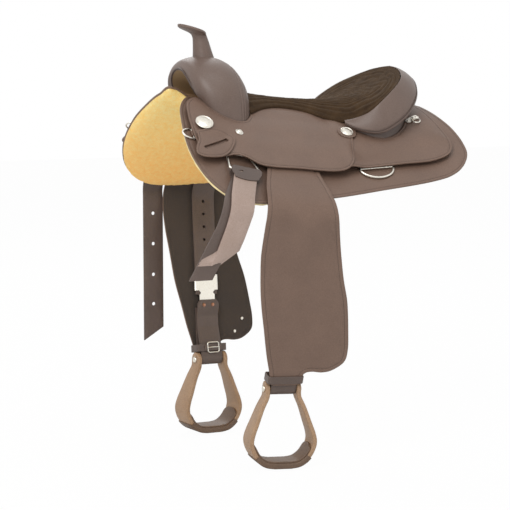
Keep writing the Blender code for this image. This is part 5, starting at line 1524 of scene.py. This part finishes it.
def band(path, inside, outside, extra, bevel):
    """A bent band along a path of out, up and width."""
    rings = []
    for i, (out, up, width) in enumerate(path):
        along = Vector(path[min(len(path) - 1, i + 1)][:2]) - Vector(path[max(0, i - 1)][:2])
        along.normalize()
        normal = Vector((-along.y, along.x))
        half = width / 2 + extra
        cut = min(bevel, half * 0.5, (inside + outside) * 0.45)
        ring = []
        corners = ((outside, half, -1, -1, 0), (-inside, half, 1, -1, 90), (-inside, -half, 1, 1, 180),
                   (outside, -half, -1, 1, 270))
        for depth, across, in_depth, in_across, first in corners:
            centre = Vector((depth + in_depth * cut, across + in_across * cut))
            for j in range(4):
                a = math.radians(first + 30 * j)
                d, w = centre.x + cut * math.cos(a), centre.y + cut * math.sin(a)
                point = Vector((out, up)) + normal * d
                ring.append(Vector((point.x, w, point.y)))
        rings.append(ring)
    return loft(rings)


def bolt_frame(side):
    """The stirrup's frame at its bolt: X along the bolt, Y outwards, Z up."""
    base = frame_at(on_leather(side), 0.0, BOLT_S, BOLT_LIFT)
    aft = base.col[0].to_3d()
    up = Vector((0, 0, 1))
    up = (up - aft * up.dot(aft)).normalized()
    matrix = Matrix((aft, up.cross(aft), up)).transposed().to_4x4()
    matrix.translation = base.translation
    return matrix


def bolt_profile():
    """The bolt from end to end: a dished head, its shank, the roller, and shank and head again."""
    head = STIRRUP_NECK + STIRRUP_BAND + GAP
    roller = LOOP_RADIUS - STRAP / 2 - GAP
    end = STIRRUP_NECK - GAP * 2
    upper = [(roller, end - 0.0006), (roller - 0.0006, end), (BOLT_RADIUS, end), (BOLT_RADIUS, head)]
    upper += [(radius, head + rise) for radius, rise in BOLT_HEAD]
    return [(radius, -height) for radius, height in upper[::-1]] + upper


print("stirrup path:", len(full_path), "stations")

# %% Stirrup, tread and bolt
for word, side in SIDES:
    at, body = bolt_frame(side), word + "_stirrup"
    half = STIRRUP_BAND / 2
    frame_band = band(full_path, half, half, 0.0, 0.0022)
    frame_band.transform(at)
    piece(word + "_stirrup_band", frame_band, stirrup_brown, body, [word + "_stirrup"])
    reach = [p for p in full_path if p[1] < WRAP_TOP]
    wrap = band(reach, half + 0.0012, half + 0.0016, 0.0020, 0.0024)
    pad_path = [p for p in full_path if p[1] < PAD_TOP]
    count = len(pad_path)
    past = [(abs(i - (count - 1) / 2) - (count / 2 - PAD_ROUND)) / PAD_ROUND for i in range(count)]
    tip = [math.sqrt(max(0.02, 1 - max(0.0, t) ** 2)) for t in past]
    pad = band([(o, u, w * k * 0.92) for (o, u, w), k in zip(pad_path, tip)],
               half + 0.0045, -half, 0.0, 0.0018)
    tread = joined(wrap, pad)
    tread.transform(at)
    piece(word + "_tread_leather", tread, tread_hide, body, [word + "_stirrup_tread"])
    bolt = turned(bolt_profile(), 32, at @ Matrix.Rotation(math.pi / 2, 4, "Y"))
    piece(word + "_bolt", bolt, nickel, body, [word + "_stirrup_bolt"])
print("stirrups:", made_pieces["near_stirrup_band"], "faces each")

# %% [markdown]
# ## Rigging
# The front dee carries the latigo on the near side and the billet on the off side. Both are straps folded
# over the dee's lower bar and drawn edge-on. The rear dee hangs under the rear jockey. All dees are bent
# from round wire, which is a small circle extruded along a closed line.

# %% Front dees, latigo and billet
WIRE = 0.0050
FRONT_DEE_X = -0.212
FRONT_DEE_TOP_S = 0.217
FRONT_DEE_LOW_S = 0.268
FRONT_DEE_HALF = 0.0350
FRONT_DEE_OUT = 0.0132
RIGGING_RING = WIRE / 2 + GAP + STRAP / 2
LATIGO_WIDTH = 0.050
LATIGO_CURL = 0.003
LATIGO_SLANT = 0.028
BILLET_WIDTH = 0.048


def strap_slope(x, s):
    """A strap follows the back to the skirt's edge, then it hangs."""
    return mix(back_slope(x, np.minimum(s, 0.345)), math.radians(92), ease((s - 0.345) / 0.030))


def on_rigging(side, lean):
    """The place function of a strap on the front dee. Its lean may change with the lift."""
    def place(u, s, lift):
        level = ease((s - 0.335) / 0.06)
        tilt = lean(lift) if callable(lean) else lean
        x = FRONT_DEE_X + u - tilt * np.maximum(0.0, s - FRONT_DEE_LOW_S)
        y, z, angle = walk(mix(x, FRONT_DEE_X, level), s, strap_slope)
        return np.stack([x, side * (y + lift * np.sin(angle)), z + lift * np.cos(angle)], -1)
    return place


def rigging_line(outer_end, inner_end, curl=0.0):
    """A strap folded over the dee's lower bar, edge-on."""
    turn = arc((FRONT_DEE_LOW_S, FRONT_DEE_OUT), RIGGING_RING, 90, 270, 14)
    out, inside = FRONT_DEE_OUT + RIGGING_RING, FRONT_DEE_OUT - RIGGING_RING
    hung = out - 0.004
    tip = [(outer_end, hung - curl), (outer_end - 0.016, hung - curl * 0.5), (outer_end - 0.034, hung)]
    outer = (tip if curl else tip[:1]) + [(0.380, hung), (0.340, out), (0.300, out)]
    return outer + turn + [(0.300, inside), (inner_end, inside)]


for word, side in SIDES:
    half = FRONT_DEE_HALF
    path = rounded([(-half + 0.009, FRONT_DEE_TOP_S), (half - 0.009, FRONT_DEE_TOP_S),
                    (half, FRONT_DEE_LOW_S), (-half, FRONT_DEE_LOW_S)], 0.006)
    path = spaced(path, 0.003)
    low = SKIRT + GAP + WIRE / 2 + 0.0004
    rise = mix(low, FRONT_DEE_OUT, (path[:, 1] - FRONT_DEE_TOP_S) / (FRONT_DEE_LOW_S - FRONT_DEE_TOP_S))
    line = on_back(side)(FRONT_DEE_X + path[:, 0], path[:, 1], rise)
    piece(word + "_front_dee_wire", wire(line, WIRE / 2), nickel, "tree", [word + "_front_dee"])

parting = FRONT_DEE_OUT - RIGGING_RING + STRAP / 2 + 0.0002


def latigo_lean(lift):
    """The inner ply leans further forward than the outer one."""
    return mix(0.55, 0.40, ease((lift - parting) / 0.0018))


latigo_place = on_rigging(-1, latigo_lean)
bm = strap(rigging_line(0.468, 0.497, LATIGO_CURL), STRAP / 2, LATIGO_WIDTH, 0.006)
for v in bm.verts:
    if v.co.z > parting:
        v.co.y -= LATIGO_SLANT * (v.co.x / LATIGO_WIDTH + 0.5) * float(ease((v.co.y - 0.40) / 0.068))
grid_cut(bm, 0.0125, 0)
# The inner ply takes the darker strap hide: painted shade, for it lies behind the outer ply.
for f in bm.faces:
    middle = f.calc_center_median()
    f.material_index = int(middle.z < parting)
latigo = piece("latigo_strap", bend(bm, latigo_place), latigo_hide, "near_latigo", ["near_latigo"])
latigo.data.materials.append(strap_hide_and_shade)

LOOP_HALF = 0.0335
LOOP_PLY = 0.0022
LOOP_REACH = 0.302
loop_radius = RIGGING_RING + STRAP / 2 + LOOP_PLY / 2 + GAP / 2
line = [(LOOP_REACH, FRONT_DEE_OUT + loop_radius)]
line += arc((FRONT_DEE_LOW_S, FRONT_DEE_OUT), loop_radius, 90, 270, 16)
line += [(LOOP_REACH - 0.012, FRONT_DEE_OUT - loop_radius)]
bm = strap(line, LOOP_PLY / 2, LOOP_HALF * 2, 0.0024)
hole_at = Matrix.Translation((-0.012, 0.279, FRONT_DEE_OUT + loop_radius))
bm = carve(bm, [peg(0.0026, 0.02, hole_at @ Matrix.Diagonal((1.6, 1, 1, 1)))])
grid_cut(bm, 0.008, 0)
for v in bm.verts:
    u, s, lift = v.co
    spread = mix(0.80, 1.0, float(ease((s - 0.262) / 0.010)))
    v.co.x = u * spread * mix(1.0, 0.78, float(ease((s - 0.276) / 0.026)))
    v.co.y = s - 0.004 * (u / LOOP_HALF) ** 2 * float(ease((s - 0.285) / 0.012))
piece("latigo_loop", bend(bm, on_rigging(-1, 0.30)), strap_hide_and_shade, "near_latigo")

BILLET_HOLES = (0.419, 0.489, 0.560, 0.628)
BILLET_HOLE = 0.0040
BILLET_SLANT = 0.030
at_hole = FRONT_DEE_OUT + RIGGING_RING - 0.004
billet = strap(rigging_line(0.712, 0.330), STRAP / 2, BILLET_WIDTH, 0.006)
holes = [peg(BILLET_HOLE, 0.02, Matrix.Translation((0, s, at_hole))) for s in BILLET_HOLES]
billet = carve(billet, holes)
grid_cut(billet, 0.012, 0)
for v in billet.verts:
    v.co.y -= BILLET_SLANT * (v.co.x / BILLET_WIDTH + 0.5) * float(ease((v.co.y - 0.655) / 0.057))
piece("billet_strap", bend(billet, on_rigging(1, 0.012)), strap_hide_and_shade, "off_billet", ["off_billet"])
print("latigo:", made_pieces["latigo_strap"], "faces, billet:", made_pieces["billet_strap"])

# %% Rear and breast dees
RING_WIRE = 0.0030
REAR_DEE_X = 0.100
REAR_DEE_S = 0.230
REAR_DEE_HALF = 0.039
REAR_DEE_DEPTH = 0.029
BREAST_DEE_X = -0.302
BREAST_DEE_S = 0.188
BREAST_DEE_HALF = 0.0135
BREAST_DEE_REACH = 0.024
BREAST_WIRE = 0.0018
CHAPE_HALF = 0.00075
CHAPE_WIDTH = 0.012
CHAPE_RING = RING_WIRE / 2 + GAP + CHAPE_HALF
BREAST_DEE_LIFT = SKIRT - 0.0004 + CHAPE_RING + CHAPE_HALF

for word, side in SIDES:
    at = frame_at(on_back(side), REAR_DEE_X, REAR_DEE_S, SKIRT + GAP + WIRE / 2 + 0.0006)
    half, depth = REAR_DEE_HALF, REAR_DEE_DEPTH
    path = [(half * math.cos(a), depth * math.sin(a)) for a in np.linspace(0, math.pi, 40)]
    path = spaced(path + [(-half * 0.5, 0.0), (half * 0.5, 0.0)], 0.003)
    piece(word + "_rear_dee_wire", wire([at @ Vector((x, y, 0)) for x, y in path], WIRE / 2), nickel,
          word + "_rear_dee", [word + "_rear_dee"])

    at = frame_at(on_back(side), BREAST_DEE_X, BREAST_DEE_S, BREAST_DEE_LIFT, lead=1)
    half = BREAST_DEE_HALF
    path = [(-BREAST_DEE_REACH * math.sin(a), half * math.cos(a)) for a in np.linspace(0, math.pi, 32)]
    path = spaced(path + [(0.0, -half * 0.4), (0.0, half * 0.4)], 0.002)
    piece(word + "_breast_dee_wire", wire([at @ Vector((x, y, 0)) for x, y in path], BREAST_WIRE), nickel,
          word + "_breast_dee", [word + "_breast_dee"])

    line = arc((0.0, 0.0), CHAPE_RING, 90, 270, 12)
    line = [(0.030, -CHAPE_RING * 0.2), (0.010, CHAPE_RING)] + line[1:-1] + [(0.030, -CHAPE_RING)]
    bm = bmesh.new()
    outline = edge_on(line, CHAPE_HALF, 0.0009)
    face = bm.faces.new([bm.verts.new((p[0], p[1], -CHAPE_WIDTH / 2)) for p in outline])
    grown = bmesh.ops.extrude_face_region(bm, geom=[face])
    far = [g for g in grown["geom"] if isinstance(g, bmesh.types.BMVert)]
    bmesh.ops.translate(bm, vec=(0, 0, CHAPE_WIDTH), verts=far)
    for v in bm.verts:
        x, lift, s = v.co
        v.co = (BREAST_DEE_X + x, BREAST_DEE_S + s, BREAST_DEE_LIFT + lift)
    piece(word + "_chape", bend(bm, on_back(side)), cover, "tree")
print("dees:", 6)

# %% [markdown]
# ## Conchos, screws, clips and rings
# A concho is a small struck disc. A profile is turned about its axis, with a raised rim, a groove and a
# low dome. The rear one sits on a leather rosette with a scalloped edge.

# %% Turned fittings
CONCHO = 0.038
REAR_CONCHO = 0.028
ROSETTE = 0.0208
ROSETTE_THICK = 0.0014
SCALLOPS = 16
SCALLOP_DEPTH = 0.0009
DOTS = 18
DOT = ((0, 0), (0.0010, 0), (0.0009, 0.0003), (0, 0.0004))
FORK_SCREW = 0.0175
CLIP_X = 0.234
CLIP_S = 0.109
CLIP_TURN = math.radians(-24)
CLIP_THICK = 0.0016
CLIP_RING = 0.0105


def struck(radius, height):
    """A struck disc's profile: an underside, a rolled rim, a groove, a bead and a low dome."""
    r = radius
    rim = ((0, 0), (r - 0.0010, 0), (r - 0.0002, 0.0004), (r, 0.0012), (r - 0.0004, 0.0020),
           (r - 0.0014, 0.0024), (r - 0.0024, 0.0021), (r - 0.0030, 0.0016))
    dome = ((r * 0.78, height * 0.60), (r * 0.70, height * 0.76), (r * 0.66, height * 0.72),
            (r * 0.62, height * 0.80), (r * 0.46, height * 0.92), (r * 0.25, height), (0, height))
    return rim + dome


def rosette(radius, thick):
    """A leather disc with a scalloped edge."""
    outline = []
    for a in np.linspace(0, math.tau, SCALLOPS * 8, endpoint=False):
        r = radius + SCALLOP_DEPTH * abs(math.sin(SCALLOPS / 2 * a)) - SCALLOP_DEPTH
        outline.append((r * math.cos(a), r * math.sin(a)))
    bm, _ = slab(outline, thick, edge=0.0004)
    return bm


for word, side in SIDES:
    place = on_jockey(side)
    lift = JOCKEY + TAB + GAP * 3 + 0.0003
    at = frame_at(place, -0.274, 0.162, lift)
    disc = turned(struck(CONCHO / 2, 0.0042), 56, at)
    piece(word + "_front_disc", disc, nickel, "tree", [word + "_front_concho"])
    at = frame_at(place, 0.062, 0.136, JOCKEY + float(overlap(0.062)) + 0.0001)
    under = rosette(ROSETTE, ROSETTE_THICK)
    under.transform(at)
    piece(word + "_rosette", under, cover, "tree")
    r = ROSETTE - 0.0030
    spots = [at @ Matrix.Translation((r * math.cos(a), r * math.sin(a), 0.0013))
             for a in np.linspace(0, math.tau, DOTS, endpoint=False)]
    dots = joined(*[turned(DOT, 12, spot) for spot in spots])
    piece(word + "_rosette_dots", dots, welt_hide, "tree")
    disc = turned(struck(REAR_CONCHO / 2, 0.0030), 48, at @ Matrix.Translation((0, 0, ROSETTE_THICK)))
    piece(word + "_rear_disc", disc, nickel, "tree", [word + "_rear_concho"])
    at = frame_at(place, -0.196, 0.163, JOCKEY + GAP)
    r = FORK_SCREW / 2
    profile = ((0, 0), (r, 0), (r, 0.0006), (r - 0.0010, 0.0012), (r - 0.0022, 0.0012),
               (r - 0.0026, 0.0020), (r * 0.60, 0.0034), (r * 0.35, 0.0043), (r * 0.15, 0.0046),
               (0, 0.0046))
    piece(word + "_screw_head", turned(profile, 36, at), nickel, "tree", [word + "_fork_screw"])

    at = frame_at(place, CLIP_X, CLIP_S, JOCKEY + GAP) @ Matrix.Rotation(CLIP_TURN, 4, "Z")
    corners = [(-0.019, -0.0065), (0.019, -0.0065), (0.019, 0.0065), (-0.019, 0.0065)]
    plate, _ = slab(rounded(corners, 0.005), CLIP_THICK, edge=0.0005)
    staple = wire([(0, 0.0020 + 0.0046 * math.cos(a), CLIP_THICK + 0.0046 * math.sin(a))
                   for a in np.linspace(-0.25, math.pi + 0.25, 20)], 0.0010, closed=False)
    heads = [turned(((0, 0), (0.0024, 0), (0.0022, 0.0006), (0.0012, 0.0010), (0, 0.0011)), 20,
                    Matrix.Translation((x, 0, CLIP_THICK))) for x in (-0.0135, 0.0135)]
    clip = joined(plate, staple, *heads)
    clip.transform(at)
    piece(word + "_clip_plate", clip, nickel, "tree", [word + "_string_clip"])
    pivot = at @ Matrix.Translation((0.0, 0.0020, CLIP_THICK + 0.0019))
    r = CLIP_RING - RING_WIRE / 2
    ring = [pivot @ Vector((r * math.cos(a), r + r * math.sin(a), 0))
            for a in np.linspace(0, math.tau, 48, endpoint=False)]
    piece(word + "_string_loop", wire(ring, 0.0014), nickel, word + "_string_ring", [word + "_string_ring"])
print("fittings:", made_pieces["near_front_disc"], "faces in a concho")

# %% [markdown]
# ## Floor, light and camera
# A catalogue photograph: a white floor and backdrop and a long lens a little above the saddle. The main
# light is a large window on the near side, in front. A lamp overhead and a low reflector by the rear
# soften its shadows, and a rim light stands behind the saddle on the off side.

# %% The stage
def white_ground():
    """A pale floor that looks white from the camera and still takes the object's shadow."""
    made = bpy.data.materials.new("white_ground")
    made.use_nodes = True
    tree = made.node_tree
    shader = tree.nodes["Principled BSDF"]
    shader.inputs["Base Color"].default_value = (0.9, 0.9, 0.9, 1)
    shader.inputs["Roughness"].default_value = 0.9
    paths = put(tree, "ShaderNodeLightPath")
    seen = put(tree, "ShaderNodeMath", {0: paths.outputs["Is Camera Ray"], 1: 0.97}, operation="MULTIPLY")
    glow = put(tree, "ShaderNodeEmission", {"Color": (1, 1, 1, 1), "Strength": 1.0})
    both = put(tree, "ShaderNodeMixShader",
               {0: seen.outputs[0], 1: shader.outputs["BSDF"], 2: glow.outputs["Emission"]})
    tree.links.new(both.outputs["Shader"], tree.nodes["Material Output"].inputs["Surface"])
    return made


low_z = float(CAD_BOX[0][2])
bm = bmesh.new()
under_all = Matrix.Translation((0, 0, low_z - 0.001))
bmesh.ops.create_grid(bm, x_segments=1, y_segments=1, size=9.0, matrix=under_all)
mesh = bpy.data.meshes.new("ground")
bm.to_mesh(mesh)
bm.free()
mesh.materials.append(white_ground())
ground = bpy.data.objects.new("ground", mesh)
bpy.context.scene.collection.objects.link(ground)

world = bpy.data.worlds.new("studio")
bpy.context.scene.world = world
world.use_nodes = True
tree = world.node_tree
paths = put(tree, "ShaderNodeLightPath")
either = put(tree, "ShaderNodeMath",
             {0: paths.outputs["Is Camera Ray"], 1: paths.outputs["Is Glossy Ray"]}, operation="MAXIMUM")
either = put(tree, "ShaderNodeMath",
             {0: either.outputs[0], 1: paths.outputs["Is Transmission Ray"]}, operation="MAXIMUM")
soft = tree.nodes["Background"]
soft.inputs["Color"].default_value = (1, 1, 1, 1)
soft.inputs["Strength"].default_value = 0.50
plain = put(tree, "ShaderNodeBackground", {"Color": (1, 1, 1, 1), "Strength": 1.0})
both = put(tree, "ShaderNodeMixShader",
           {0: either.outputs[0], 1: soft.outputs["Background"], 2: plain.outputs["Background"]})
tree.links.new(both.outputs["Shader"], tree.nodes["World Output"].inputs["Surface"])


def lamp(name, place, power, size):
    """A large square light that faces the saddle's middle."""
    light = bpy.data.lights.new(name, "AREA")
    light.energy = power
    light.size = size
    made = bpy.data.objects.new(name, light)
    made.location = place
    made.rotation_euler = (Vector((0, 0, -0.2)) - Vector(place)).to_track_quat("-Z", "Y").to_euler()
    bpy.context.scene.collection.objects.link(made)


lamp("window", (-2.6, -2.6, 2.4), 90.0, 2.4)
lamp("overhead", (0.1, -1.3, 3.2), 16.0, 1.6)
lamp("reflector", (2.4, -2.8, 0.6), 4.0, 2.4)
lamp("rim", (0.5, 3.0, 2.4), 40.0, 2.0)
print("lamps:", 4)

# %% The camera
LENS_PX = 1889.0
PHOTO_PX = 510
SENSOR = 36.0
AZIMUTH = math.radians(-24)
DISTANCE = 4.1
HORIZON_PX = 227
PITCH = math.atan(HORIZON_PX / LENS_PX)
camera = bpy.data.objects.new("camera", bpy.data.cameras.new("camera"))
camera.data.sensor_width = SENSOR
camera.data.lens = LENS_PX * SENSOR / PHOTO_PX
camera.location = (math.sin(AZIMUTH) * DISTANCE - 0.09, -math.cos(AZIMUTH) * DISTANCE, 0.185)
camera.rotation_euler = (math.pi / 2 - PITCH, 0.0, AZIMUTH)
bpy.context.scene.collection.objects.link(camera)
bpy.context.scene.camera = camera
bpy.context.scene.view_settings.view_transform = "Standard"
print("lens:", round(camera.data.lens, 1), "mm")
